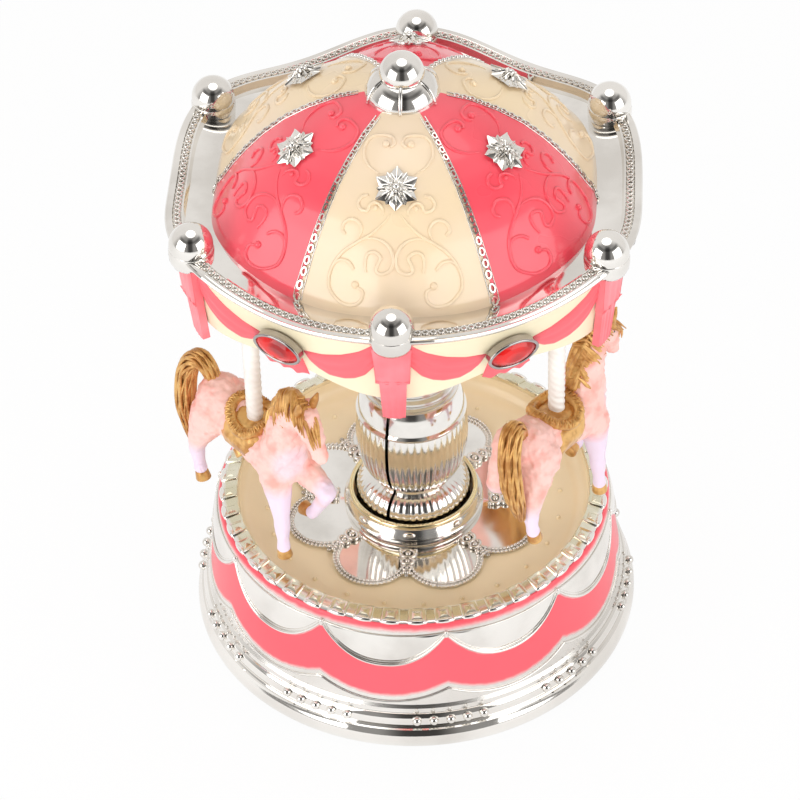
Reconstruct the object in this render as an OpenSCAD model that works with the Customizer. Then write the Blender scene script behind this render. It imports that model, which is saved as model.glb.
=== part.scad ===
// Carousel music box. A wind-up musical movement in the round base turns the column,
// which carries a lobed canopy and three horses that hang from it on twisted poles.
// The origin is on the table, in the middle of the base. +Z is up.

/* [Base] */
// Radius of the outer wall where it rises from the flange
wall_foot_r = 55.8; // [54:0.2:60]
// How far the flange stands out past the foot of the wall
flange_overhang = 4.2; // [3.5:0.1:6]
// Height of the flange roll above the table
flange_h = 8; // [7:0.2:9]
// How much the wall draws in from foot to top
wall_taper = 3.1; // [2:0.1:4.5]
// Height of the top edge of the wall
wall_h = 38.6; // [37.8:0.2:44]
// Thickness of the base shell
shell_t = 2; // [1.6:0.1:2.4]
// Number of swags round the wall
swag_count = 10; // [8:1:12]
// How far the swags stand out from the wall
swag_relief = 0.8; // [0.5:0.1:1.2]
// Beads in each group on the flange
beads_per_group = 5; // [3:1:6]
// Radius of a flange bead
bead_r = 1.1; // [0.8:0.1:1.3]

/* [Floor] */
// Depth of the floor below the top of the wall
floor_drop = 3.6; // [3:0.1:4.5]
// Thickness of the floor
floor_t = 2; // [1.6:0.1:2.4]
// Raised dots round the floor
dot_count = 24; // [16:1:30]
// Radius of the ring of dots
dot_ring_r = 39.5; // [38:0.5:41]
// Petals in the mirror rosette
petal_count = 8; // [8:1:10]
// Radius of one petal
petal_r = 10.55; // [10.4:0.05:11.5]
// Distance from the middle to the centre of a petal
petal_centre_r = 24.75; // [24:0.25:25.5]
// Tiles in the edging round the floor
tile_count = 45; // [36:1:50]
// Height of the tile edging
tile_h = 3.6; // [3:0.1:4.4]

/* [Column] */
// Widest radius of the fluted column
column_r = 14.6; // [13.5:0.1:15]
// Wall of the column shells
column_t = 1.5; // [1.2:0.1:1.8]
// Flutes round the column
flute_count = 48; // [36:2:60]
// Depth of a flute
flute_depth = 0.55; // [0.3:0.05:0.8]
// Width of the open seam between the column shells
seam_w = 0.9; // [0.4:0.1:1.4]
// Radius of the upper column behind the valance
sleeve_r = 8.6; // [7.5:0.1:9.2]

/* [Canopy] */
// Height of the canopy ceiling above the table
ceiling_z = 128.5; // [120:0.5:136]
// Gap between the foot of the dome and the cup of a corner ball
ball_gap = 2.4; // [2:0.1:4]
// Radius of a corner ball
ball_r = 5.5; // [4.8:0.1:6]
// How far the rim stands out past the middle of a ball, on average
rim_overhang = 2.2; // [1.6:0.1:3]
// How far the rim swings out at a ball and in between two balls
lobe_r = 1.5; // [0.8:0.1:2]
// How far the rim rises at a ball and dips between two balls
lobe_z = 1.5; // [0.5:0.1:2]
// Radius of the dome at its foot
dome_r = 49; // [47:0.1:50]
// Height of the dome
dome_h = 31; // [26:0.5:36]
// Thickness of the canopy mouldings
canopy_t = 1.6; // [1.2:0.1:2]
// Height of the valance
valance_h = 17; // [14:0.2:19]
// Radius of the ball on top of the dome
finial_r = 5.75; // [5:0.05:6.5]

/* [Horses] */
// How far the poles stand in from the foot of the dome
pole_inset = 4.5; // [4:0.1:7]
// Radius of a pole over its twisted ridges
pole_r = 2.2; // [1.8:0.1:2.4]
// How much the first horse is turned in from its path
horse_1_turn = 16; // [10:1:20]
// How much the second horse is turned in from its path
horse_2_turn = -4; // [-10:1:8]
// How much the third horse is turned in from its path
horse_3_turn = 3; // [-8:1:12]
// Height of the first horse's saddle above the table
saddle_z = 85.5; // [84.5:0.5:90]
// How much higher the second horse hangs
horse_2_lift = 5; // [0:0.5:7]
// How much higher the third horse hangs
horse_3_lift = 2.5; // [0:0.5:7]

/* [Musical movement] */
// Size of the crown gear teeth, as a gear module
crown_module = 0.7; // [0.65:0.01:0.72]
// Radius of the spring barrel
barrel_r = 10.4; // [9.5:0.1:10.8]
// Radius of the music cylinder
cylinder_r = 6.2; // [5.6:0.1:6.4]
// Room between the bedplate's corner and the inside of the base
movement_gap = 4.8; // [4.8:0.1:6]
// Notes on the comb
note_count = 18; // [12:1:22]
// Radius of the winding arbor
arbor_r = 2; // [1.8:0.05:2.2]
// Radius of the drive spindle
spindle_r = 3; // [2.6:0.1:3.4]
// Width of the winding key across its wings
key_w = 26; // [20:0.5:30]

/* [Fits] */
// Radial gap of a shaft in its bearing
running_gap = 0.05; // [0.03:0.01:0.09]
// Gap between mouldings that are fixed together
seat_gap = 0.1; // [0.05:0.05:0.25]
// Gap between a fixed and a turning moulding
moving_gap = 0.6; // [0.4:0.1:0.8]

/* [Hidden] */
$fn = 96;

// Teeth of the crown gear and of the pinion that it drives
crown_teeth = 40;
cylinder_pinion_teeth = 10;

// Directions round the axis
ball_az = -94.1;
swag_az = -82;
petal_az = -95;
seam_az = -117.5;
panel_angle = 60;
pole_az = ball_az - panel_angle;

// Base
flange_r = wall_foot_r + flange_overhang;
wall_foot_z = 17;
wall_top_r = wall_foot_r - wall_taper;
bead_row_z = flange_h + 2.45;
bead_row_r = wall_foot_r + 2.5;
cover_z = 8;
cover_t = 1.6;
cover_r = wall_foot_r - shell_t - 1;
ledge_t = 1.8;
boss_top_z = cover_z + cover_t + 2.4;
screw_ring_r = cover_r - 4;
screw_r = 1.2;
screw_count = 4;
screw_az = 45;
bedplate_screw_r = 25;
shoulder_h = 1.8;

// Floor
floor_z = wall_h - floor_drop;
floor_low_z = floor_z - floor_t;
tile_seat_z = wall_h + 2;
tile_top_z = wall_h + tile_h;
tile_out_r = wall_top_r - 0.7;
tile_in_r = tile_out_r - 4.8;
floor_turn_up = 4.2;
hub_hole_r = 13.6;
rosette_t = 0.6;

// Column
bell_r = column_r + 0.8;
collar_in_r = bell_r + moving_gap;
collar_out_r = collar_in_r + 2.7;
collar_h = 10;
column_low_z = floor_z + 2.8;
column_mid_z = floor_z + 15.6;
bulb_low_z = column_mid_z + 1.2;
bulb_z = column_mid_z + 14;
band_low_z = bulb_z + 5.4;
column_top_z = band_low_z + 7.4;
hub_z = floor_z + 0.6;
hub_t = 2;
hub_r = 12.4;

// Canopy, with heights at the middle of the rim's swing
cup_r = ball_r + 0.2;
ball_ring_r = dome_r + 0.8 * lobe_r + ball_gap + cup_r;
rim_r = ball_ring_r + rim_overhang;
ceiling_screw_r = 0.61 * dome_r;
tray_z = ceiling_z + 14;
rim_top_z = tray_z + 3.6;
dome_z = tray_z + 0.6;
ball_z = tray_z + 6.1;
dome_top_z = dome_z + dome_h;
finial_z = dome_top_z + 6.1;
valance_top_r = rim_r - 3;
valance_low_r = valance_top_r - 2.6;
ceiling_t = 2;
ceiling_r = valance_low_r - lobe_r - canopy_t - 0.4;
gem_z = tray_z - 4.8;
gem_w = 12;
gem_h = 7.6;
bezel_t = 2.2;
star_ring_r = 0.592 * dome_r;

// Poles and horses
pole_ring_r = dome_r - pole_inset;
horse_count = 3;
horse_turn = [horse_1_turn, horse_2_turn, horse_3_turn];
horse_lift = [0, horse_2_lift, horse_3_lift];
socket_depth = 5;
socket_h = 3;

// Movement: the crown gear turns the cylinder's pinion, which lies along +X
bedplate_t = 1.6;
bedplate_z = boss_top_z;
bed_top_z = bedplate_z + bedplate_t;
barrel_z = bed_top_z + 1;
flange_t = 1.6;
crown_r = crown_teeth * crown_module / 2;
crown_face = 2.4;
pinion_r = cylinder_pinion_teeth * crown_module / 2;
pitch_z = barrel_z + flange_t + 1.2 * crown_module;
axle_z = pitch_z + pinion_r;
barrel_h = 12;
barrel_top_z = barrel_z + barrel_h;
bridge_z = barrel_top_z + 0.4;
bridge_t = 1.6;
bridge_span = 24;
post_r = 2;
axle_r = 1;
cylinder_x = crown_r + crown_face / 2 + 3.2;
bracket_t = 1.2;
// The bedplate's outer corner lies at this angle of the base, and the cylinder fills
// what the wheels at its end leave of the length
bedplate_half = bedplate_screw_r * cos(screw_az) + 4;
bedplate_cut = 6;
bedplate_reach = wall_foot_r - shell_t - movement_gap;
bedplate_end_x = sqrt(pow(bedplate_reach, 2) - pow(bedplate_half - bedplate_cut, 2));
train_len = 10;
cylinder_len = bedplate_end_x - train_len - cylinder_x;
cylinder_end_x = cylinder_x + cylinder_len;
wheel_teeth = 24;
governor_pinion_teeth = 8;
wheel_module = 0.5;
wheel_x = cylinder_end_x + bracket_t + 1.2;
wheel_w = 1.2;
governor_y = -(wheel_teeth + governor_pinion_teeth) * wheel_module / 2;
worm_wheel_teeth = 20;
worm_module = 0.4;
worm_r = 1.3;
worm_y = governor_y - worm_wheel_teeth * worm_module / 2 - worm_r;
worm_x = bedplate_end_x - 4;
fan_z = axle_z + 6;
pin_h = 0.5;
comb_gap = 0.3;
tooth_len = 12;
comb_t = 1;
comb_root_y = cylinder_r + pin_h + comb_gap + tooth_len;
comb_back_y = comb_root_y + 7;
bridge_post_y = crown_r + crown_face / 2 + post_r + 0.8;
governor_x0 = wheel_x - 1.6;
governor_x1 = worm_x + 2.4;
governor_phase = 180 / governor_pinion_teeth;
worm_gap = 0.25;
fan_arm_z = fan_z + 3.2;
key_z = 0.9;
key_h = 5.6;
key_t = 2.4;
key_hub_r = 3.4;

// Points of an arc about a centre in a profile
function arc(cr, cz, r, a0, a1, n) =
    [for (i = [0:n]) let(a = a0 + (a1 - a0) * i / n) [cr + r * cos(a), cz + r * sin(a)]];

// Swing of the canopy outline at an angle: 1 at a corner ball, -1 halfway between two
function lobe(a) = cos(6 * (a - ball_az));

// Skins a closed profile round the axis. Each profile point is [r, z, radial swing,
// rise, flute depth]. A half shell runs from a0 over a sweep and has flat ends.
module swept_shell(profile, steps, a0 = ball_az, sweep = 360) {
    whole = sweep == 360;
    rows = whole ? steps : steps + 1;
    n = len(profile);
    points = [for (k = [0:rows - 1]) let(a = a0 + sweep * k / steps)
        for (p = profile) let(r = p[0] + p[2] * lobe(a) - (k % 2) * p[4])
            [r * cos(a), r * sin(a), p[1] + p[3] * lobe(a)]];
    last = whole ? rows - 1 : rows - 2;
    sides = [for (k = [0:last]) for (i = [0:n - 1])
        let(j = (i + 1) % n, m = (k + 1) % rows)
        each [[k * n + i, k * n + j, m * n + j], [k * n + i, m * n + j, m * n + i]]];
    ends = whole ? [] : [[for (i = [n - 1:-1:0]) i], [for (i = [0:n - 1]) last * n + n + i]];
    polyhedron(points = points, faces = concat(sides, ends), convexity = 10);
}

// A profile whose radius and height both swing with the canopy outline
function lobed(points, dr, dz) = [for (p = points) [p[0], p[1], dr, dz, 0]];

// Places copies at an azimuth and a radius, with +X pointing outwards
module round_the_axis(count, az, r, z = 0) {
    for (i = [0:count - 1])
        rotate([0, 0, az + 360 * i / count]) translate([r, 0, z]) children();
}

// ---- Base ----

// Outer radius of the tapered wall at a height
function wall_r(z) = wall_foot_r - wall_taper * (z - wall_foot_z) / (wall_h - wall_foot_z);

module base_shell() {
    inner_foot_r = wall_foot_r - shell_t;
    roll = flange_overhang;
    color("silver") union() {
        rotate_extrude() polygon(concat(
            [[inner_foot_r, 0]],
            arc(flange_r - roll, roll, roll, -90, 40, 7),
            [[bead_row_r + 0.3, flange_h], [bead_row_r - 0.1, flange_h + 0.5],
             [bead_row_r, flange_h + 1.1], [bead_row_r - 0.6, flange_h + 3.8],
             [bead_row_r - 1.3, flange_h + 4.4], [wall_foot_r + 0.9, flange_h + 6.4],
             [wall_foot_r + 0.2, flange_h + 7.1], [wall_foot_r, wall_foot_z],
             [wall_top_r, wall_h], [wall_top_r - 1.2, wall_h + shoulder_h],
             [wall_top_r - shell_t, wall_h + shoulder_h],
             [wall_r(floor_low_z) - shell_t, floor_low_z],
             [tile_in_r, floor_low_z], [tile_in_r, floor_low_z - ledge_t],
             [wall_r(floor_low_z - ledge_t) - shell_t - 0.8, floor_low_z - ledge_t - 1.4],
             [inner_foot_r, wall_foot_z], [inner_foot_r, cover_z + cover_t + ledge_t],
             [screw_ring_r - 3, cover_z + cover_t + ledge_t],
             [screw_ring_r - 3, cover_z + cover_t], [inner_foot_r, cover_z + cover_t]]));
        flange_beads();
    }
}

module flange_beads() {
    step = 4.4;
    half = (beads_per_group - 1) / 2;
    for (g = [0:swag_count - 1], b = [-half:half])
        rotate([0, 0, swag_az + 360 * g / swag_count + b * step])
            translate([bead_row_r - 0.1, 0, bead_row_z]) sphere(bead_r, $fn = 24);
}

// One swag in the plane of the wall: a shallow crescent that hangs between two knots
module swag_outline() {
    half = wall_top_r * sin(180 / swag_count);
    top_z = wall_h - 0.5;
    knot_z = wall_h - 2;
    low_z = wall_h - 10.7;
    steps = 10;
    polygon(concat(
        [for (i = [0:steps]) let(u = -1 + 2 * i / steps)
            [u * half * 0.985, low_z + (knot_z - 1.6 - low_z) * pow(abs(u), 2.2)]],
        [[half * 0.985, knot_z], [half * 0.6, top_z], [-half * 0.6, top_z],
         [-half * 0.985, knot_z]]));
}

module swag_trim() {
    low_z = wall_h - 11;
    color("silver") for (i = [0:swag_count - 1])
        rotate([0, 0, swag_az + 360 * (i + 0.5) / swag_count])
            intersection() {
                rotate_extrude() polygon([
                    [wall_r(low_z) + seat_gap, low_z],
                    [wall_r(low_z) + seat_gap + swag_relief, low_z],
                    [wall_top_r + seat_gap + swag_relief, wall_h],
                    [wall_top_r + seat_gap, wall_h]]);
                translate([wall_top_r - 6, 0, 0]) rotate([90, 0, 90])
                    linear_extrude(12) swag_outline();
            }
}

module floor_plate() {
    turn_r = tile_in_r - floor_turn_up;
    rise = tile_seat_z - floor_z;
    color("tan") union() {
        difference() {
            rotate_extrude() polygon(concat(
                [[hub_hole_r, floor_low_z], [tile_in_r + 1.8, floor_low_z],
                 [tile_in_r + 1.8, tile_seat_z - seat_gap], [tile_in_r, tile_seat_z - seat_gap]],
                [for (i = [0:6]) let(a = 15 * i)
                    [turn_r + floor_turn_up * cos(a), floor_z + rise * 0.92 * (1 - sin(a))]],
                [[hub_hole_r, floor_z]]));
        }
        for (i = [0:dot_count - 1])
            rotate([0, 0, petal_az + 360 * (i + 0.5) / dot_count])
                translate([dot_ring_r, 0, floor_z - 0.3])
                    cylinder(h = 0.8, r1 = 0.8, r2 = 0.4, $fn = 24);
    }
}

module petal_rosette() {
    color("gainsboro") difference() {
        translate([0, 0, floor_z]) linear_extrude(rosette_t) union() {
            circle(petal_centre_r - 3);
            for (i = [0:petal_count - 1])
                rotate(petal_az + 360 * (i + 0.5) / petal_count)
                    translate([petal_centre_r, 0]) circle(petal_r, $fn = 64);
        }
        translate([0, 0, floor_z - 1]) cylinder(h = 4, r = collar_out_r + seat_gap);
    }
}

// Edging of raised tiles that slope down and outwards over the top of the wall
module tile_edging() {
    pitch = 360 / tile_count;
    seat = wall_h + shoulder_h;
    color("palegoldenrod") union() {
        rotate_extrude() polygon([
            [tile_in_r, tile_seat_z], [tile_in_r, tile_top_z - 0.5], [tile_out_r - 0.9, seat + 1],
            [tile_out_r - 0.9, seat], [tile_in_r + 2, seat], [tile_in_r + 2, tile_seat_z]]);
        for (i = [0:tile_count - 1]) rotate([0, 0, swag_az + pitch * i]) tile();
    }
}

// One tile: a wedge whose outer edge is rounded to a scallop
module tile() {
    half = tile_in_r * tan(180 / tile_count);
    len = tile_out_r - tile_in_r - 0.2;
    edge_z = wall_h + shoulder_h + 0.2;
    intersection() {
        rotate([90, 0, 0]) translate([0, 0, -half * 1.2]) linear_extrude(half * 2.4) polygon([
            [tile_in_r + 0.1, tile_seat_z + 0.4], [tile_in_r + 0.1, tile_top_z],
            [tile_out_r + 0.3, edge_z + 1], [tile_out_r + 0.3, edge_z],
            [tile_out_r - 1.2, edge_z], [tile_in_r + 2.2, tile_seat_z + 0.3]]);
        translate([tile_in_r, 0, wall_h]) linear_extrude(tile_h + 1) union() {
            translate([0, -half * 0.86]) square([len - half, half * 1.72]);
            translate([len - half, 0]) scale(half * 0.93) circle(1, $fn = 24);
        }
    }
}

// Cup round the foot of the column
module collar() {
    color("silver") rotate_extrude() polygon(concat(
        [[collar_in_r, floor_z], [collar_out_r - 0.9, floor_z], [collar_out_r - 0.3, floor_z + 0.7],
         [collar_out_r, floor_z + 1.6]],
        arc(collar_out_r - 3.4, floor_z + collar_h - 6.2, 3.4, 0, 55, 4),
        [[collar_out_r - 1.7, floor_z + collar_h - 2.4], [collar_in_r + 0.7, floor_z + collar_h - 1.3],
         [collar_in_r + 0.3, floor_z + collar_h], [collar_in_r, floor_z + collar_h]]));
}

module bottom_cover() {
    color("dimgray") difference() {
        union() {
            translate([0, 0, cover_z]) cylinder(h = cover_t, r = cover_r);
            round_the_axis(screw_count, screw_az, bedplate_screw_r)
                translate([0, 0, cover_z]) cylinder(h = boss_top_z - cover_z, r = 3, $fn = 32);
        }
        translate([0, 0, cover_z - 1]) cylinder(h = cover_t + 2, r = key_hub_r + moving_gap);
        round_the_axis(screw_count, 0, screw_ring_r)
            translate([0, 0, cover_z - 1]) cylinder(h = cover_t + 2, r = screw_r + 0.2, $fn = 32);
        round_the_axis(screw_count, screw_az, bedplate_screw_r)
            translate([0, 0, cover_z + 1]) cylinder(h = boss_top_z, r = screw_r, $fn = 32);
    }
}

// Pan-head screw, head down, with its thread running up from the head
module screw(length, head_r = 2.2, head_h = 1.2) {
    translate([0, 0, -head_h]) cylinder(h = head_h, r = head_r, $fn = 32);
    cylinder(h = length, r = screw_r - seat_gap, $fn = 32);
}

module cover_screws() {
    color("silver") round_the_axis(screw_count, 0, screw_ring_r)
        translate([0, 0, cover_z]) screw(cover_t);
}

module bedplate_screws() {
    color("silver") round_the_axis(screw_count, screw_az, bedplate_screw_r)
        translate([0, 0, bed_top_z]) mirror([0, 0, 1]) screw(bedplate_t + 1.6);
}

// ---- Musical movement ----

module bedplate() {
    half_l = bedplate_half;
    comb_x = cylinder_end_x + 2;
    end_x = bedplate_end_x;
    cut = bedplate_cut;
    color("goldenrod") difference() {
        union() {
            translate([0, 0, bedplate_z]) linear_extrude(bedplate_t) polygon([
                [-half_l, -half_l], [end_x - cut, -half_l], [end_x, -half_l + cut], [end_x, 4],
                [comb_x, 8], [comb_x, comb_back_y + 1], [-half_l, comb_back_y + 1]]);
            translate([0, 0, bedplate_z - 2.2]) cylinder(h = 2.3, r = arbor_r + 2);
        }
        translate([0, 0, bedplate_z - 4]) cylinder(h = bedplate_t + 8, r = arbor_r + running_gap);
        round_the_axis(screw_count, screw_az, bedplate_screw_r)
            translate([0, 0, bedplate_z - 1]) cylinder(h = bedplate_t + 2, r = screw_r, $fn = 32);
    }
}

// Close-wound spring that grips the arbor so that it only winds one way
module clutch_spring() {
    color("silver") rotate_extrude() for (i = [0:1])
        translate([arbor_r + running_gap + 0.27, bed_top_z + 0.24 + 0.48 * i])
            circle(0.22, $fn = 24);
}

module winding_key() {
    color("silver") union() {
        translate([0, 0, key_z + 1]) cylinder(h = cover_z + 0.8 - key_z - 1, r = key_hub_r);
        for (side = [-1, 1]) translate([side * key_w / 4, 0, key_z + key_h / 2])
            rotate([90, 0, 0]) linear_extrude(key_t, center = true) difference() {
                intersection() {
                    square([key_w / 2, key_h], center = true);
                    circle(key_w / 4, $fn = 48);
                }
                translate([side * 1.6, 0]) circle(1.5, $fn = 32);
            }
    }
}

module winding_arbor() {
    color("silver") translate([0, 0, cover_z + 0.8])
        cylinder(h = barrel_top_z - 1.6 - cover_z - 0.8, r = arbor_r);
}

// Spring barrel with a crown gear on its lower flange
module spring_barrel() {
    wall = 1;
    lid = 1.2;
    tooth_a = 360 / crown_teeth;
    color("goldenrod") union() {
        rotate_extrude() polygon([
            [arbor_r + running_gap, barrel_z], [crown_r + crown_face / 2, barrel_z],
            [crown_r + crown_face / 2, barrel_z + flange_t], [barrel_r, barrel_z + flange_t],
            [barrel_r, barrel_top_z], [0, barrel_top_z], [0, barrel_top_z - lid],
            [barrel_r - wall, barrel_top_z - lid], [barrel_r - wall, barrel_z + 1],
            [arbor_r + running_gap, barrel_z + 1]]);
        for (i = [0:crown_teeth - 1]) rotate([0, 0, tooth_a * (i + 0.5)])
            translate([crown_r, 0, barrel_z + flange_t]) crown_tooth();
    }
}

module crown_tooth() {
    base = crown_module * 1.3;
    tip = crown_module * 0.55;
    h = crown_module * 1.95;
    rotate([90, 0, 90]) linear_extrude(crown_face, center = true)
        polygon([[-base / 2, -0.05], [base / 2, -0.05], [tip / 2, h], [-tip / 2, h]]);
}

// Spiral strip that drives the barrel
module mainspring() {
    turns = 6;
    strip = 0.25;
    height = barrel_h - 4;
    r_in = arbor_r + 0.5;
    r_out = barrel_r - 1.3;
    steps = 24;
    n = turns * steps;
    spiral = [for (i = [0:n]) let(a = 360 * i / steps, r = r_in + (r_out - r_in) * i / n) [a, r]];
    color("slategray") translate([0, 0, barrel_z + 1.4]) linear_extrude(height)
        polygon(concat([for (s = spiral) [s[1] * cos(s[0]), s[1] * sin(s[0])]],
            [for (i = [n:-1:0]) let(s = spiral[i])
                [(s[1] + strip) * cos(s[0]), (s[1] + strip) * sin(s[0])]]));
}

module drive_spindle() {
    color("silver") union() {
        translate([0, 0, barrel_top_z]) cylinder(h = hub_z - barrel_top_z + 0.5, r = spindle_r);
        translate([0, 0, hub_z]) cylinder(h = hub_t, r = hub_r);
    }
}

// Bridge over the barrel whose bore guides the spindle
module spindle_bridge() {
    color("goldenrod") difference() {
        union() {
            translate([-7, -bridge_span / 2 - 3, bridge_z]) cube([14, bridge_span + 6, bridge_t]);
            for (s = [-1, 1]) translate([0, s * bridge_post_y, bed_top_z])
                cylinder(h = bridge_z + bridge_t / 2 - bed_top_z, r = post_r, $fn = 32);
        }
        translate([0, 0, bridge_z - 1]) cylinder(h = bridge_t + 2, r = spindle_r + running_gap);
    }
}

// Cylinder set with one pin for each note in every row
module music_cylinder() {
    pitch = (cylinder_len - 2) / (note_count - 1);
    color("goldenrod") translate([cylinder_x, 0, axle_z]) rotate([0, 90, 0]) difference() {
        union() {
            cylinder(h = cylinder_len, r = cylinder_r);
            for (k = [0:note_count - 1])
                rotate([0, 0, (k * 137) % 360]) translate([cylinder_r - 0.3, 0, 1 + pitch * k])
                    rotate([0, 90, 0]) cylinder(h = pin_h + 0.3, r = 0.18, $fn = 16);
        }
        translate([0, 0, -1]) cylinder(h = cylinder_len + 2, r = axle_r + seat_gap);
    }
}

// Gear outline with straight-sided teeth
module gear_outline(teeth, m) {
    pitch_r = teeth * m / 2;
    root_r = pitch_r - 1.15 * m;
    tip_r = pitch_r + 0.9 * m;
    root_half = 90 / teeth * 1.05;
    tip_half = 90 / teeth * 0.5;
    polygon([for (i = [0:teeth - 1]) let(a = 360 * i / teeth) each [
        [root_r * cos(a - root_half), root_r * sin(a - root_half)],
        [tip_r * cos(a - tip_half), tip_r * sin(a - tip_half)],
        [tip_r * cos(a + tip_half), tip_r * sin(a + tip_half)],
        [root_r * cos(a + root_half), root_r * sin(a + root_half)]]]);
}

// Arbor of the music cylinder with the pinion that the crown gear turns
module cylinder_arbor() {
    start_x = crown_r - crown_face / 2 - 1;
    color("silver") translate([0, 0, axle_z]) rotate([0, 90, 0]) union() {
        translate([0, 0, start_x]) cylinder(h = wheel_x + wheel_w + 1 - start_x, r = axle_r);
        translate([0, 0, crown_r - crown_face / 2]) linear_extrude(crown_face)
            gear_outline(cylinder_pinion_teeth, crown_module);
    }
}

module cylinder_wheel() {
    color("goldenrod") translate([wheel_x, 0, axle_z]) rotate([0, 90, 0]) difference() {
        linear_extrude(wheel_w) gear_outline(wheel_teeth, wheel_module);
        translate([0, 0, -1]) cylinder(h = wheel_w + 2, r = axle_r + seat_gap);
    }
}

// Two upright plates that carry the ends of the cylinder's arbor
module cylinder_brackets() {
    w = 6;
    color("goldenrod") for (x = [cylinder_x - bracket_t - 0.5, cylinder_end_x + 0.5])
        difference() {
            translate([x, -w / 2, bed_top_z]) cube([bracket_t, w, axle_z - bed_top_z + 3]);
            translate([x - 1, 0, axle_z]) rotate([0, 90, 0])
                cylinder(h = bracket_t + 2, r = axle_r + running_gap);
        }
}

// Arbor that carries the wheel turned by the cylinder and the wheel that turns the fan
module governor_arbor() {
    color("goldenrod") translate([0, governor_y, axle_z]) rotate([0, 90, 0]) union() {
        translate([0, 0, governor_x0]) cylinder(h = governor_x1 - governor_x0, r = 0.7);
        translate([0, 0, wheel_x]) linear_extrude(wheel_w) rotate(governor_phase)
            gear_outline(governor_pinion_teeth, wheel_module);
        translate([0, 0, worm_x - 0.6]) linear_extrude(1.2)
            gear_outline(worm_wheel_teeth, worm_module);
    }
}

// Upright shaft with the worm and the fan that holds the speed down
module fan_spindle() {
    blade_r = 3;
    top = fan_arm_z + 0.8;
    color("silver") translate([worm_x, worm_y, 0]) union() {
        translate([0, 0, bed_top_z + 0.2]) cylinder(h = top - bed_top_z - 0.2, r = 0.5, $fn = 32);
        translate([0, 0, axle_z - 3])
            cylinder(h = 6, r = worm_r - 0.9 * worm_module - worm_gap, $fn = 32);
        translate([-blade_r, -0.2, fan_z - 1.2]) cube([2 * blade_r, 0.4, 3.4]);
    }
}

// Frame for the governor: two plates for the arbor and an arm over the fan
module governor_frame() {
    h = axle_z - bed_top_z;
    plate_t = 0.9;
    post_y = worm_y - 5.5;
    color("goldenrod") union() {
        difference() {
            for (x = [governor_x0 + 0.2, governor_x1 - 0.2 - plate_t])
                translate([x, governor_y - 1.6, bed_top_z]) cube([plate_t, 3.2, h + 1.8]);
            translate([governor_x0 - 1, governor_y, axle_z]) rotate([0, 90, 0])
                cylinder(h = governor_x1 - governor_x0 + 2, r = 0.7 + running_gap, $fn = 32);
        }
        difference() {
            union() {
                translate([worm_x - 1.5, post_y - 1.2, bed_top_z])
                    cube([3, 2.4, fan_arm_z + 1 - bed_top_z]);
                translate([worm_x - 1.5, post_y, fan_arm_z]) cube([3, worm_y - post_y + 1.5, 1]);
            }
            translate([worm_x, worm_y, fan_arm_z - 1])
                cylinder(h = 3, r = 0.5 + running_gap, $fn = 32);
        }
    }
}

// Steel comb with one tooth for each note, on a block that stands on the bedplate
module music_comb() {
    root_y = comb_root_y;
    tip_y = root_y - tooth_len;
    back_y = comb_back_y;
    pitch = (cylinder_len - 2) / (note_count - 1);
    x0 = cylinder_x + 1;
    color("lightsteelblue") difference() {
        union() {
            translate([x0 - 0.6, root_y, axle_z - comb_t / 2])
                cube([cylinder_len - 0.8, back_y - root_y, comb_t]);
            for (k = [0:note_count - 1])
                translate([x0 + pitch * k - 0.3, tip_y, axle_z - comb_t / 2])
                    cube([0.6, root_y - tip_y + 0.1, comb_t]);
            translate([x0 - 0.6, root_y + 1, bed_top_z])
                cube([cylinder_len - 0.8, back_y - root_y - 1, axle_z - comb_t / 2 - bed_top_z + 0.05]);
        }
        for (u = [0.2, 0.8]) translate([x0 + cylinder_len * u - 1, root_y + 4, axle_z - 4])
            cylinder(h = 8, r = screw_r, $fn = 32);
    }
}

module comb_screws() {
    color("silver") for (u = [0.2, 0.8])
        translate([cylinder_x + cylinder_len * u, comb_root_y + 4, axle_z + comb_t / 2])
            mirror([0, 0, 1]) screw(3.2, 2, 1);
}

// ---- Column ----

// Fluted shell of the column, as a closed profile of points with flutes on two stretches
function column_profile() =
    let(c = column_r, b = bell_r, d = flute_depth, t = column_t, z0 = column_low_z)
    concat(
        [[b - 0.8, z0, d], [b - 0.1, z0 + 3.4, d], [b, z0 + 6.4, d], [b - 0.7, z0 + 8.8, d],
         [c - 2.2, z0 + 10.8, d], [c - 5.1, column_mid_z - 0.4, 0], [c - 5.2, bulb_low_z - 0.4, 0],
         [c - 3.2, bulb_low_z + 2.8, d], [c - 1.2, bulb_low_z + 6.2, d], [c - 0.2, bulb_z - 3.6, d],
         [c, bulb_z, d], [c - 0.2, band_low_z - 0.9, d], [c, band_low_z, 0],
         [c - 0.4, band_low_z + 1, 0], [c - 1.9, column_top_z - 0.6, 0], [c - 2.4, column_top_z, 0]],
        [[c - 2.4 - t, column_top_z, 0], [c - 0.5 - t, band_low_z, 0], [c - 0.4 - t, bulb_z - 2, 0],
         [c - 3.6 - t, bulb_low_z + 3.6, 0], [c - 5.4 - t, bulb_low_z, 0],
         [c - 5.4 - t, column_mid_z - 0.8, 0], [b - 0.8 - t, z0 + 7.6, 0], [b - 0.8 - t, z0, 0]]);

module column_shell(az) {
    half_gap = asin(seam_w / 2 / column_r);
    profile = [for (p = column_profile()) [p[0], p[1], 0, 0, p[2]]];
    swept_shell(profile, flute_count, az + half_gap, 180 - 2 * half_gap);
}

module column_half_a() color("silver") column_shell(seam_az);
module column_half_b() color("silver") column_shell(seam_az + 180);

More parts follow.
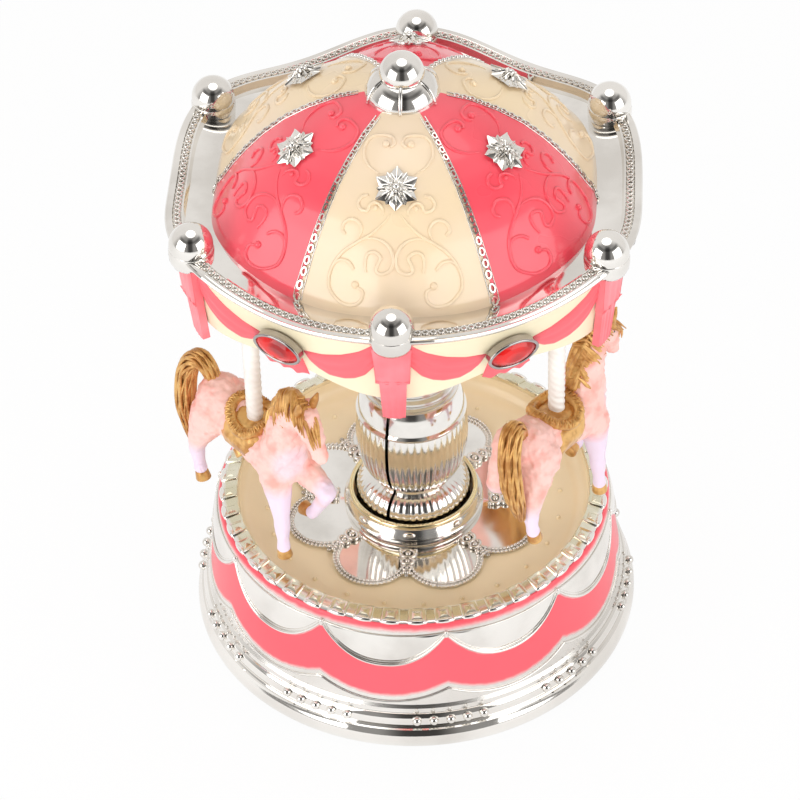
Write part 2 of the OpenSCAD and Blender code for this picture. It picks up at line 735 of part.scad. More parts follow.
// Stepped rings above the shells and the plain sleeve that carries the canopy
module column_sleeve() {
    z = column_top_z + seat_gap;
    c = column_r;
    color("silver") rotate_extrude() polygon(concat(
        [[sleeve_r - column_t, z], [c - 2.1, z], [c - 1.9, z + 0.8], [c - 2.5, z + 1.5],
         [c - 2.8, z + 1.9], [c - 2.7, z + 2.7], [c - 3.4, z + 3.4], [c - 3.7, z + 3.8],
         [c - 3.6, z + 4.6], [c - 4.6, z + 5.4], [sleeve_r, z + 7.5],
         [sleeve_r, ceiling_z - 5], [sleeve_r + 3, ceiling_z - seat_gap],
         [sleeve_r - column_t, ceiling_z - seat_gap]]));
}

// ---- Canopy ----

module canopy_ceiling() {
    color("ivory") difference() {
        union() {
            translate([0, 0, ceiling_z]) cylinder(h = ceiling_t, r = ceiling_r);
            round_the_axis(horse_count, pole_az, pole_ring_r)
                translate([0, 0, ceiling_z - socket_h]) cylinder(h = socket_h + 1, r = pole_r + 2);
        }
        round_the_axis(horse_count, pole_az, pole_ring_r)
            translate([0, 0, ceiling_z - socket_h - 1])
                cylinder(h = socket_h + 1, r = pole_r + seat_gap);
        round_the_axis(3, pole_az + 60, ceiling_screw_r)
            translate([0, 0, ceiling_z - 1]) cylinder(h = ceiling_t + 2, r = screw_r, $fn = 32);
    }
}

module ceiling_screws() {
    color("silver") round_the_axis(3, pole_az + 60, ceiling_screw_r)
        translate([0, 0, ceiling_z]) screw(ceiling_t + 4);
}

// Hollow posts between the ceiling and the inside of the dome, which take the screws
module canopy_posts() {
    low_z = ceiling_z + ceiling_t;
    post_h = dome_z + 0.53 * dome_h - low_z;
    color("moccasin") round_the_axis(3, pole_az + 60, ceiling_screw_r) difference() {
        translate([0, 0, low_z]) cylinder(h = post_h, r = 3, $fn = 48);
        translate([0, 0, low_z - 1]) cylinder(h = 6.5, r = screw_r, $fn = 32);
    }
}

// Skirt below the rim, with a scalloped lower edge
module valance() {
    top = tray_z + 0.9;
    low = top - valance_h - 1;
    t = canopy_t;
    color("moccasin") swept_shell([
        [valance_top_r, top, lobe_r, lobe_z, 0], [valance_top_r - t, top, lobe_r, lobe_z, 0],
        [valance_top_r - t - 0.9, top - 6, lobe_r, 0, 0],
        [valance_low_r - t, low + 1, lobe_r, -1.4, 0], [valance_low_r, low, lobe_r, -1.4, 0],
        [valance_top_r - 0.9, top - 6, lobe_r, 0, 0]], 60);
}

// Pendant under each corner ball
module tassels() {
    r = valance_low_r + lobe_r + seat_gap + 1.15;
    lean = 8;
    top = 12;
    color("lightcoral") round_the_axis(6, ball_az, r, tray_z - 10.5)
        rotate([0, lean, 0]) rotate([90, 0, 90]) linear_extrude(1.8) polygon([
            [-5, top - 3], [-5, 4], [-4.2, 3], [-4, -2], [-3.3, -top - 1], [-2.2, -top - 2.2],
            [2.2, -top - 2.2], [3.3, -top - 1], [4, -2], [4.2, 3], [5, 4], [5, top - 3]]);
}

// Plated tray: rim, sloping floor and the seat of the dome
module canopy_tray() {
    z = tray_z + 1.1;
    rim = [[rim_r - 4.6, z, 1], [rim_r - 1.4, z + 0.6, 1], [rim_r, z + 1.2, 1],
        [rim_r + 0.3, z + 2, 1], [rim_r - 0.1, rim_top_z - 0.3, 1], [rim_r - 0.8, rim_top_z, 1],
        [rim_r - 3.4, rim_top_z + 0.1, 1], [rim_r - 4, z + 1.8, 1]];
    pan = [[dome_r - 0.6, z - 0.8, 0.8], [dome_r - 3, z - 0.8, 0.8], [dome_r - 3, z - 2, 0.8],
        [dome_r + 1, z - 1.8, 0.8]];
    color("silver") swept_shell([for (p = concat(rim, pan))
        [p[0], p[1], lobe_r * p[2], lobe_z, 0]], 48);
}

// Ball in a cup at each corner, slotted so that the rim passes through it
module corner_balls() {
    slot_low = tray_z + 1.9;
    slot_high = rim_top_z + lobe_z + 0.3;
    slot_step = tray_z + 2.9 + lobe_z + 0.24;
    rim_out = rim_r + lobe_r + 0.5;
    pan_z = tray_z + 0.3 + lobe_z + 0.35;
    color("silver") difference() {
        round_the_axis(6, ball_az, ball_ring_r) union() {
            translate([0, 0, ball_z]) sphere(ball_r, $fn = 48);
            translate([0, 0, tray_z - 0.9]) rotate_extrude($fn = 48) polygon([
                [0, 0], [cup_r - 2.3, 0.3], [cup_r - 0.7, 1.6], [cup_r, 3.4], [cup_r - 0.1, 5.6],
                [0, 5.6]]);
        }
        rotate_extrude() polygon([
            [dome_r - 4, 0], [valance_top_r + lobe_r + 0.2, 0], [valance_top_r + lobe_r + 0.2, slot_low],
            [rim_out, slot_low], [rim_out, slot_high], [rim_out - 4.9, slot_high],
            [rim_out - 4.9, slot_step], [dome_r, pan_z], [dome_r - 4, pan_z]]);
    }
}

// Height of the dome's outside at a radius, as a share of its radius and height
dome_curve = [[1, 0], [0.98, 0.09], [0.94, 0.17], [0.888, 0.29], [0.816, 0.43], [0.724, 0.58],
    [0.612, 0.725], [0.49, 0.835], [0.347, 0.93], [0.184, 0.99]];
function dome_point(p, c) = [dome_r * p[0] + 0.8 * lobe_r * p[0] * c,
    dome_z + dome_h * p[1] + lobe_z * c * (1 - p[1])];

module dome() {
    t = canopy_t;
    outer = [for (p = dome_curve) [dome_r * p[0], dome_z + dome_h * p[1],
        0.8 * lobe_r * p[0], lobe_z * (1 - p[1]), 0]];
    inner = [for (i = [9, 7, 5, 3, 1]) let(p = outer[i])
        [p[0] - t, p[1] - t, p[2], p[3], 0]];
    foot = [[dome_r - t - 0.6, dome_z, 0.8 * lobe_r, lobe_z, 0]];
    color("lightcoral") swept_shell(concat(outer, inner, foot), 48);
}

// Plated strip along the rib between two panels
module rib_chains() {
    low = [for (k = [1:9]) dome_point(dome_curve[k], -1)];
    h = 0.9;
    color("silver") for (i = [0:5]) rotate([90, 0, ball_az + 30 + 60 * i])
        linear_extrude(2.2, center = true) polygon(concat(
            [for (p = low) [p[0] + 0.35, p[1] + 0.35]],
            [for (k = [8:-1:0]) [low[k][0] + 0.35 + h * 0.8, low[k][1] + 0.35 + h]]));
}

// Star-shaped stud on each panel
module flower_studs() {
    points = 6;
    size = 4.4;
    tilt = atan(1.326 * dome_h / dome_r);
    z = dome_z + dome_h * 0.76 + 1.3;
    color("silver") round_the_axis(6, ball_az, star_ring_r, z) rotate([0, tilt, 0]) union() {
        linear_extrude(0.8) polygon([for (k = [0:2 * points - 1])
            let(r = k % 2 == 0 ? size : size * 0.66) [r * cos(30 * k), r * sin(30 * k)]]);
        translate([0, 0, 0.7]) linear_extrude(0.6) polygon([for (k = [0:2 * points - 1])
            let(r = k % 2 == 0 ? size * 0.64 : size * 0.4) [r * cos(30 * k + 30), r * sin(30 * k + 30)]]);
        translate([0, 0, 0.9]) sphere(1, $fn = 24);
    }
}

// Ribbed bell cap and ball on top of the dome
module crown_finial() {
    z = dome_top_z - 0.2;
    color("silver") union() {
        rotate_extrude() polygon([[0, z], [8.8, z], [8.6, z + 1], [7.6, z + 2.4], [5.8, z + 3.6],
            [4.4, z + 4.2], [0, z + 4.2]]);
        translate([0, 0, finial_z]) sphere(finial_r);
        for (i = [0:5]) rotate([90, 0, ball_az + 60 * i]) linear_extrude(0.7, center = true)
            polygon([[4, z + 0.1], [9.3, z + 0.1], [9.1, z + 1.1], [8, z + 2.8], [5, z + 4.4]]);
    }
}

// Pointed oval made of two arcs
module marquise(w, h) {
    r = (w * w / 4 + h * h / 4) / h;
    intersection() {
        translate([0, r - h / 2]) circle(r);
        translate([0, h / 2 - r]) circle(r);
        square([w * 0.94, h * 1.1], center = true);
    }
}

module on_valance() {
    round_the_axis(6, ball_az + 30, valance_top_r - lobe_r - 0.6, gem_z)
        rotate([0, 8, 0]) rotate([90, 0, 90]) children();
}

module gem_bezels() {
    color("silver") on_valance() linear_extrude(bezel_t) difference() {
        marquise(gem_w + 1.6, gem_h + 1.2);
        marquise(gem_w + 0.2, gem_h + 0.2);
    }
}

module gems() {
    color("crimson") on_valance() union() {
        linear_extrude(bezel_t - 0.2) marquise(gem_w, gem_h);
        translate([0, 0, bezel_t - 0.3]) linear_extrude(1.1, scale = 0.55)
            polygon([for (k = [0:9]) [gem_w * 0.46 * cos(36 * k), gem_h * 0.46 * sin(36 * k)]]);
    }
}

// ---- Horses ----

module pole(i) {
    twist_pitch = 6.4;
    low_z = saddle_z + horse_lift[i] - socket_depth;
    length = ceiling_z - low_z - seat_gap;
    color("white") rotate([0, 0, pole_az + 360 * i / horse_count])
        translate([pole_ring_r, 0, low_z])
            linear_extrude(length, twist = 360 * length / twist_pitch, slices = 48, $fn = 6)
                polygon([for (k = [0:5]) let(r = k % 2 == 0 ? pole_r : pole_r * 0.84)
                    [r * cos(60 * k), r * sin(60 * k)]]);
}
module pole_1() pole(0);
module pole_2() pole(1);
module pole_3() pole(2);

// Rounded link between each two neighbours of a list of [forward, left, up, radius].
// Heights are counted from the saddle.
module limb(joints, sides = 8) {
    for (i = [0:len(joints) - 2]) hull() for (p = [joints[i], joints[i + 1]])
        translate([p[0], p[1], p[2]]) sphere(p[3], $fn = sides);
}

module horse(i) {
    color("pink") rotate([0, 0, pole_az + 360 * i / horse_count])
        translate([pole_ring_r, 0, saddle_z + horse_lift[i]])
        rotate([0, 0, 90 + horse_turn[i]]) difference() {
            horse_body();
            translate([0, 0, -socket_depth - seat_gap])
                cylinder(h = 40, r = pole_r + 0.3, $fn = 24);
        }
}

module horse_body() {
    // trunk, arched neck and tucked head
    limb([[-12.8, 0, -1.5, 7], [-2.5, 0, -6.2, 6.4], [10, -0.6, -8.5, 7.4], [10.6, 0, 0, 6.2],
        [13.6, 0, 8.6, 5], [17.6, 0, 13.6, 4.2], [21.4, 0, 11.2, 3.7], [24.6, 0.2, 3.6, 2.7]], 10);
    limb([[20.8, -1.4, 15, 1.5], [23, -1.6, 19.4, 0.6]]);
    // straight foreleg and raised foreleg
    limb([[11.4, -3.6, -12, 4.2], [13.2, -4, -26, 2.2], [13.6, -4.4, -34, 1.7], [14.2, -4.4, -37.2, 2.2]]);
    limb([[12, 3.6, -10.8, 4.2], [22.6, 4, -14.8, 2.5], [16, 4.3, -26.4, 1.8], [12.6, 4.3, -27, 2.1]]);
    // stretched hind leg and gathered hind leg
    limb([[-13.4, -3.6, -5.5, 5.6], [-17.6, -5.2, -16, 3], [-18, -5.4, -26, 1.8], [-16.8, -5.4, -29.6, 2.2]]);
    limb([[-13.4, 3.6, -5.5, 5.6], [-20, 4.2, -13, 2.9], [-13.4, 3.4, -19.8, 2], [-10.6, 3.2, -22.6, 2.2]]);
    // looped tail, mane and saddle
    limb([[-15.5, 0, 2.6, 2.5], [-18, -0.6, 6.8, 2.7], [-22.4, -2.4, 5.2, 2.9], [-24.6, -3.8, -2, 2.9],
        [-24, -4.7, -10, 2.8], [-21.8, -5.4, -19.4, 1.8]]);
    limb([[6.4, 0, 3, 2.6], [9, 0.6, 9, 3], [12.4, 0.8, 13.6, 3.2], [17, 0.8, 16.6, 2.7],
        [21, 0.4, 13.8, 1.8]]);
    hull() for (f = [-4, 5], s = [-4.6, 4.6]) translate([f, s, -4.9]) sphere(4.3, $fn = 8);
}
module horse_1() horse(0);
module horse_2() horse(1);
module horse_3() horse(2);

base_shell();
swag_trim();
floor_plate();
petal_rosette();
tile_edging();
collar();
bottom_cover();
cover_screws();
bedplate();
bedplate_screws();
music_comb();
comb_screws();
cylinder_brackets();
spindle_bridge();
governor_frame();
clutch_spring();
winding_key();
winding_arbor();
spring_barrel();
mainspring();
drive_spindle();
music_cylinder();
cylinder_arbor();
cylinder_wheel();
governor_arbor();
fan_spindle();
column_half_a();
column_half_b();
column_sleeve();
canopy_ceiling();
ceiling_screws();
canopy_posts();
valance();
tassels();
canopy_tray();
corner_balls();
dome();
rib_chains();
flower_studs();
crown_finial();
gem_bezels();
gems();
pole_1();
pole_2();
pole_3();
horse_1();
horse_2();
horse_3();
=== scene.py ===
# Carousel music box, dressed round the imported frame. Lengths are in millimetres
# in the dictionaries and turned into metres by mm.
import bpy
from math import sin, cos, pi, radians, degrees, asin, atan2, hypot, dist
from mathutils import Matrix, Vector, noise


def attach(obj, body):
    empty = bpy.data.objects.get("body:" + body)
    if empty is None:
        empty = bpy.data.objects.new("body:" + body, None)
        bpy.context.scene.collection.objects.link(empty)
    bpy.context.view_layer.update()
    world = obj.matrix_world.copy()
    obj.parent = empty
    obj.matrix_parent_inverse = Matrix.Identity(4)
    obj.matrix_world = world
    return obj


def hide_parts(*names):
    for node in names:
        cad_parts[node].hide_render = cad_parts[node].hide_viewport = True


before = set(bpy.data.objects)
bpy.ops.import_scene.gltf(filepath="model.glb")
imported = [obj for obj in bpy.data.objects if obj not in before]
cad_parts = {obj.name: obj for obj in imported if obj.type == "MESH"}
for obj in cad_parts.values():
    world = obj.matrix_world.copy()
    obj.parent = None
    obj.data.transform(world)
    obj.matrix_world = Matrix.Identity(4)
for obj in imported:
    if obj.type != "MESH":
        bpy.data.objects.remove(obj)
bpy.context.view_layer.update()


mm = 0.001

# directions round the axis, in degrees, shared by several pieces
facing = {"ball": -94.1, "swag": -82, "petal": -95, "seam": -117.5, "pole": -154.1}


# ---- Small tools ----

def clearSelection():
    if bpy.context.object and bpy.context.object.mode != "OBJECT":
        bpy.ops.object.mode_set(mode="OBJECT")
    bpy.ops.object.select_all(action="DESELECT")


def pick(piece):
    clearSelection()
    piece.select_set(True)
    bpy.context.view_layer.objects.active = piece


def shape(name, kind, **settings):
    # a mesh primitive, with its place moved into its mesh
    clearSelection()
    getattr(bpy.ops.mesh, f"primitive_{kind}_add")(**settings)
    piece = bpy.context.object
    piece.name = name
    bpy.ops.object.transform_apply(location=True, rotation=True, scale=True)
    return piece


def smooth(piece, angle=60):
    pick(piece)
    bpy.ops.object.shade_smooth_by_angle(angle=radians(angle))
    return piece


def openMesh(kind="VERT", action="SELECT"):
    bpy.ops.object.mode_set(mode="EDIT")
    bpy.ops.mesh.select_mode(type=kind)
    bpy.ops.mesh.select_all(action=action)


def closeMesh(outward=True):
    # back to object mode, with all faces turned outwards first
    if outward:
        bpy.ops.mesh.select_all(action="SELECT")
        bpy.ops.mesh.normals_make_consistent(inside=False)
    bpy.ops.object.mode_set(mode="OBJECT")


def applied(piece, kind, **settings):
    pick(piece)
    modifier = piece.modifiers.new(kind.title(), kind)
    for key, value in settings.items():
        setattr(modifier, key, value)
    bpy.ops.object.modifier_apply(modifier=modifier.name)
    return piece


def reshape(piece, move, unit=mm):
    # a function takes each vertex, in units, to its place in millimetres
    for vertex in piece.data.vertices:
        vertex.co = move(vertex.co / unit) * mm
    piece.data.update()
    return piece


def polar(r, angle, z):
    a = radians(angle)
    return Vector((r * cos(a), r * sin(a), z))


def turned(angle):
    return Matrix.Rotation(radians(angle), 4, "Z")


def roundAxis(count, start):
    return [turned(start + 360 * i / count) for i in range(count)]


def at(x, y, z):
    return Matrix.Translation((x * mm, y * mm, z * mm))


def lineAt(points, s):
    # the point a share between two corners, s counted in corners
    i = min(int(s), len(points) - 2)
    return [a + (b - a) * (s - i) for a, b in zip(points[i], points[i + 1])]


def curveAt(points, s):
    # the same on a smooth curve through the corners
    i = min(int(s), len(points) - 2)
    f = s - i
    p0, p1 = points[max(i - 1, 0)], points[i]
    p2, p3 = points[i + 1], points[min(i + 2, len(points) - 1)]
    return [0.5 * (2 * b + (c - a) * f + (2 * a - 5 * b + 4 * c - d) * f ** 2
                   + (3 * b - a - 3 * c + d) * f ** 3) for a, b, c, d in zip(p0, p1, p2, p3)]


def along(pairs, x):
    # height of a polyline at x
    for (x0, y0), (x1, y1) in zip(pairs, pairs[1:]):
        if x <= x1:
            return y0 + (y1 - y0) * (x - x0) / (x1 - x0)
    return pairs[-1][1]


def lathe(name, profile, steps, angle, sweep=360, start=0):
    # one vertex extruded along the profile, and the line spun round the axis
    piece = shape(name, "plane", size=mm)
    openMesh()
    bpy.ops.mesh.merge(type="CENTER")
    last = Vector((0, 0, 0))
    for k, (r, z) in enumerate(profile):
        to = polar(r, start, z) * mm
        if k == 0:
            bpy.ops.transform.translate(value=to - last)
        else:
            bpy.ops.mesh.extrude_region_move(TRANSFORM_OT_translate={"value": to - last})
        last = to
    bpy.ops.mesh.select_all(action="SELECT")
    bpy.ops.mesh.spin(steps=steps, angle=radians(-sweep), center=(0, 0, 0), axis=(0, 0, 1))
    bpy.ops.mesh.select_all(action="SELECT")
    bpy.ops.mesh.remove_doubles(threshold=2e-6)
    closeMesh()
    return smooth(piece, angle)


def ball(name, radius, place=(0, 0, 0), scale=(1, 1, 1), around=12, up=8):
    return smooth(shape(name, "uv_sphere", segments=around, ring_count=up, radius=radius * mm,
                        location=Vector(place) * mm, scale=scale))


def hoop(name, major, minor, place=(0, 0, 0), around=14, across=6, stretch=(1, 1, 1)):
    ring = shape(name, "torus", major_radius=major * mm, minor_radius=minor * mm,
                 major_segments=around, minor_segments=across)
    ring.data.transform(at(*place) @ Matrix.Diagonal((*stretch, 1)))
    return smooth(ring)


def grid(name, across, up, lay):
    # a grid from -1 to 1 each way, laid out by a function
    return smooth(reshape(shape(name, "grid", x_subdivisions=across, y_subdivisions=up, size=2), lay, 1))


def stacked(name, corners, levels, turn=0):
    # a disc extruded up one unit for each level, turned from the second on
    piece = shape(name, "circle", vertices=corners, radius=1, fill_type="NGON")
    openMesh()
    for k in range(levels):
        bpy.ops.mesh.extrude_region_move(TRANSFORM_OT_translate={"value": (0, 0, 1)})
        if k > 0:
            bpy.ops.transform.rotate(value=radians(turn), orient_axis="Z", center_override=(0, 0, 0))
    closeMesh(False)
    return piece


def wire(name, points, radius, sides=3, cyclic=False, radii=None):
    # round wire along points in millimetres, as a mesh
    clearSelection()
    data = bpy.data.curves.new(name, "CURVE")
    data.dimensions = "3D"
    data.bevel_depth = radius * mm
    data.bevel_resolution = sides
    data.use_fill_caps = not cyclic
    line = data.splines.new("POLY")
    line.points.add(len(points) - 1)
    for k, p in enumerate(points):
        line.points[k].co = (p[0] * mm, p[1] * mm, p[2] * mm, 1)
        line.points[k].radius = radii[k] if radii else 1
    line.use_cyclic_u = cyclic
    piece = bpy.data.objects.new(name, data)
    bpy.context.collection.objects.link(piece)
    pick(piece)
    bpy.ops.object.convert(target="MESH")
    return smooth(bpy.context.object, 50)


def joined(name, pieces):
    clearSelection()
    for piece in pieces:
        piece.select_set(True)
    bpy.context.view_layer.objects.active = pieces[0]
    if len(pieces) > 1:
        bpy.ops.object.join()
    piece = bpy.context.object
    piece.name = name
    return piece


def placed(piece, place):
    # a copy with a mesh of its own, moved in that mesh
    twin = piece.copy()
    twin.data = piece.data.copy()
    twin.data.transform(place)
    if place.determinant() < 0:
        twin.data.flip_normals()
    bpy.context.collection.objects.link(twin)
    return twin


def copies(name, piece, places):
    # one copy at each place, joined, and the first one removed
    made = [placed(piece, place) for place in places]
    bpy.data.objects.remove(piece, do_unlink=True)
    return joined(name, made)


def dress(piece, body, finish, slot, *nodes):
    piece.data.materials.clear()
    piece.data.materials.append(finish)
    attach(piece, body)
    if nodes:
        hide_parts(*nodes)
    return piece


# ---- Shader maths ----

def tint(red, green, blue):
    # colour as seen on a screen, 0 to 255, as the renderer wants it
    channels = [v / 255 for v in (red, green, blue)]
    return tuple(v / 12.92 if v < 0.04045 else ((v + 0.055) / 1.055) ** 2.4 for v in channels) + (1,)


def darker(colour, share):
    return tuple(v * share for v in colour[:3]) + (1,)


class Wire:
    # a socket with arithmetic: expressions on wires add Math nodes
    def __init__(self, tree, socket=None):
        self.tree = tree
        self.socket = socket

    def add(self, kind, inputs=None, out=0, **settings):
        # any node: its type, its settings, then the values or wires of its sockets
        node = self.tree.nodes.new(kind)
        for key, value in settings.items():
            setattr(node, key, value)
        for key, value in (inputs or {}).items():
            if isinstance(value, Wire):
                self.tree.links.new(value.socket, node.inputs[key])
            else:
                node.inputs[key].default_value = value
        return Wire(self.tree, node.outputs[out] if node.outputs else None)

    def maths(self, operation, *others):
        return self.add("ShaderNodeMath", dict(enumerate((self, *others))), operation=operation)

    def __add__(self, other):
        return self.maths("ADD", other)

    def __sub__(self, other):
        return self.maths("SUBTRACT", other)

    def __mul__(self, other):
        return self.maths("MULTIPLY", other)

    def __truediv__(self, other):
        return self.maths("DIVIDE", other)

    def __pow__(self, other):
        return self.maths("POWER", other)

    __radd__ = __add__
    __rmul__ = __mul__

    def __rsub__(self, other):
        return self.maths("MULTIPLY_ADD", -1, other)

    def __abs__(self):
        return self.maths("ABSOLUTE")

    def axes(self):
        return [self.add("ShaderNodeSeparateXYZ", {0: self}, k) for k in range(3)]

    def step(self, low, high):
        # 0 below low, 1 above high, smooth between
        return self.add("ShaderNodeMapRange", {0: self, 1: low, 2: high, 3: 0, 4: 1},
                        interpolation_type="SMOOTHSTEP")

    def mixed(self, first, second):
        # this wire is the factor between two colours
        return self.add("ShaderNodeMix", {0: self, 6: first, 7: second}, 2, data_type="RGBA")


class Finish:
    # a Principled material: fixed sockets by name, wires for what varies
    def __init__(self, name, **fixed):
        self.material = bpy.data.materials.new(name)
        self.material.use_nodes = True
        self.tree = self.material.node_tree
        self.shader = self.tree.nodes["Principled BSDF"]
        for key, value in fixed.items():
            self.shader.inputs[key.replace("_", " ")].default_value = value
        self.place = Wire(self.tree).add("ShaderNodeTexCoord", out="Object")

    def noise(self, scale, detail):
        return self.place.add("ShaderNodeTexNoise", {"Vector": self.place, "Scale": scale, "Detail": detail})

    def feed(self, socket, wire):
        self.tree.links.new(wire.socket, self.shader.inputs[socket])

    def bump(self, height, strength, distance):
        self.feed("Normal", height.add("ShaderNodeBump", {"Height": height, "Strength": strength,
                                                          "Distance": distance * mm}))


def mottled(name, tones, rough, vary=0.05, cloud=(60, 4), edge=(0.35, 0.7), bump=None, **fixed):
    # two tones and an uneven roughness from one cloud of noise
    made = Finish(name, **fixed)
    soft = made.noise(*cloud)
    made.feed("Base Color", soft.step(*edge).mixed(*tones))
    made.feed("Roughness", soft * vary + rough)
    if bump:
        scale, detail, strength, distance = bump
        made.bump(made.noise(scale, detail), strength, distance)
    return made.material


print("tools ready")

# ---- Finishes ----

look = {
    "silver": tint(246, 243, 238), "silverShade": tint(226, 222, 216),
    "wallPink": tint(255, 92, 106), "valancePink": tint(247, 104, 114), "tasselPink": tint(255, 150, 158),
    "domePink": tint(246, 76, 92), "domePinkSoft": tint(250, 98, 112),
    "cream": tint(243, 231, 198), "domeCream": tint(243, 219, 180), "domeCreamSoft": tint(238, 214, 188),
    "floorTan": tint(255, 234, 194), "tileGold": tint(242, 237, 218), "tileGoldShade": tint(226, 219, 192),
    # the collar lip's cream is a painted reflection of the cream and pink parts around it, on silver
    "lipReflectionCream": tint(246, 232, 190),
    "horsePink": tint(255, 206, 197), "horseCrease": tint(255, 176, 164), "legLilac": tint(240, 222, 240),
    "gold": tint(188, 128, 62), "goldLight": tint(236, 188, 116),
    "poleWhite": tint(250, 247, 242), "poleShade": tint(240, 234, 228),
    "ruby": tint(224, 26, 24), "rubyDeep": tint(158, 4, 10),
    "bezel": tint(186, 180, 178), "bezelShade": tint(166, 160, 158),
    "brass": tint(214, 178, 104), "brassShade": tint(190, 150, 82),
    "steel": tint(214, 215, 218), "steelShade": tint(186, 188, 192),
    "coverGrey": tint(64, 64, 66), "coverShade": tint(52, 52, 54),
    "eye": tint(60, 30, 26), "eyeShade": tint(40, 20, 18),
}


def silverFinish(name, rough=0.07, waviness=0.02):
    return mottled(name, (look["silver"], look["silverShade"]), rough, bump=(190, 2, waviness, 0.4), Metallic=1)


def paintFinish(name, colour, shade, rough=0.38, coat=0.3, grain=900):
    return mottled(name, (colour, shade), rough - 0.06, 0.12, (45, 4), (0.3, 0.75), (grain, 3, 0.12, 0.12),
                   Coat_Weight=coat, Coat_Roughness=0.12)


polished = silverFinish("polishedSilver")
satinSilver = silverFinish("satinSilver", 0.2, 0.05)
mirror = silverFinish("mirrorSilver", 0.03, 0)
fluted = silverFinish("flutedSilver", 0.1, 0.03)
creamPaint = paintFinish("creamPaint", look["cream"], darker(look["cream"], 0.93))
pinkPaint = paintFinish("pinkPaint", look["valancePink"], darker(look["valancePink"], 0.9), 0.5, 0.1)


# ---- Base shell: roll flange, bead shelf, tapered wall with a painted band ----

base = {
    "wallFoot": 55.8, "wallTop": 52.7, "footZ": 17, "topZ": 38.6, "flange": 59.99, "roll": 4.2, "swags": 10,
    "shelf": [(58.8, 7.45), (58.35, 7.62), (58.05, 8), (58.1, 8.6), (58.3, 9.2), (58.25, 10.4), (57.8, 11.6),
        (57.3, 12.1), (57.02, 12.15), (56.95, 12.7), (56.75, 13.6)],
    "wallZ": (14.4, 15.4, 16.4, 17.4, 20, 23, 26, 29, 32, 35, 37.2, 38.2),
    "rim": [(52.55, 39), (52.3, 39.7), (51.8, 40.2), (51, 40.4), (50.2, 40.3)],
    "inside": [(50.2, 38.2), (51.4, 34), (53.4, 17.5), (53.8, 12), (53.8, 0.02)],
    "beads": 5, "beadStep": 4.4, "beadR": 1.3, "beadAt": (58.45, 0, 10.7),   # on the shelf, under each swag
    "dashR": 0.5, "dashAt": (57, 0, 13.2), "dashScale": (0.9, 0.8, 1.35),
    "wireLow": 15.3, "wireCusp": 19.4, "wireR": 0.34,                        # scalloped wire under the paint
    "swagLow": 27.9, "swagKnot": 37.4, "swagTop": 37.1, "swagSpan": 0.985, "bulge": 0.62,
    "lip": 0.5, "lipLine": 0.16, "topLine": 0.2, "knotR": 0.85, "knotZ": 37.2, "knotScale": (0.8, 0.8, 1.5),
}


def wallRadius(z):
    foot, rise = base["wallFoot"], base["topZ"] - base["footZ"]
    if z < base["footZ"]:
        return foot + 0.055 * (base["footZ"] - z) ** 1.6
    return foot - (foot - base["wallTop"]) * (z - base["footZ"]) / rise


def wireHeight(phase):
    # phase is -1 and 1 at the knots, 0 in the middle of a swag
    return base["wireLow"] + (base["wireCusp"] - base["wireLow"]) * abs(phase) ** 2


def swagLowEdge(phase):
    return base["swagLow"] + (base["swagKnot"] - base["swagLow"]) * abs(phase) ** 2.3


def swagTopEdge(phase):
    return base["swagTop"] + 0.7 * phase * phase


def bandPaint():
    # pink paint between the scalloped wire and the rim, thinned to metal along its edges
    made = Finish("bandPaint", Coat_Roughness=0.15)
    x, y, z = made.place.axes()
    turn = y.maths("ARCTAN2", x) * (180 / pi) - facing["swag"]
    phase = (turn / (360 / base["swags"])).maths("FRACT") * 2 - 1
    height = z / mm
    ragged = (made.noise(420, 4) - 0.5) * 0.9
    above = (height - wireHeight(phase) + ragged).step(1.3, 2.9)
    clearOfLip = (swagLowEdge(phase) - height + ragged * 0.6).step(0.25, 1.3)
    strip = (height + ragged).step(37.9, 39.6)
    band = above * clearOfLip.maths("MAXIMUM", strip)
    cloud = made.noise(30, 3)
    pink = cloud.step(0.2, 0.8).mixed(look["wallPink"], darker(look["wallPink"], 0.9))
    silver = cloud.step(0.35, 0.7).mixed(look["silver"], look["silverShade"])
    satin = height.step(12, 12.6)
    made.feed("Base Color", band.mixed(silver, pink))
    made.feed("Metallic", 1 - band)
    made.feed("Roughness", band * 0.36 + (1 - band) * (satin * 0.16 + 0.06) + cloud * 0.03)
    made.feed("Coat Weight", band * 0.25)
    made.bump(made.noise(160, 2), 0.02, 0.4)
    return made.material


def buildBase():
    roll = base["roll"]
    rollAt = base["flange"] - roll
    outer = [(rollAt + roll * cos(radians(a)), roll + roll * sin(radians(a))) for a in range(-90, 41, 7)]
    outer += base["shelf"] + [(wallRadius(z), z) for z in base["wallZ"]] + base["rim"]
    shell = lathe("baseShell", outer + base["inside"] + [(rollAt, 0)], 200, 25)
    bead = ball("bead", base["beadR"], base["beadAt"], around=20, up=12)
    dash = ball("dash", base["dashR"], base["dashAt"], base["dashScale"])
    middle = (base["beads"] - 1) / 2
    turns = [turned(facing["swag"] + 360 / base["swags"] * g + (b - middle) * base["beadStep"])
             for g in range(base["swags"]) for b in range(base["beads"])]
    shell = joined("baseShell", [shell, copies("flangeBeads", bead, turns), copies("flangeDashes", dash, turns)])
    dress(shell, "base", bandPaint(), "plated", "base_shell")

    line = []
    for k in range(360):
        phase = (k + 0.0001) / (360 / base["swags"]) % 1 * 2 - 1
        z = wireHeight(phase)
        line.append(polar(wallRadius(z) + 0.08, facing["swag"] + k, z))
    scallop = wire("scallopWire", line, base["wireR"], 3, cyclic=True)
    dress(scallop, "base", polished, "plated")


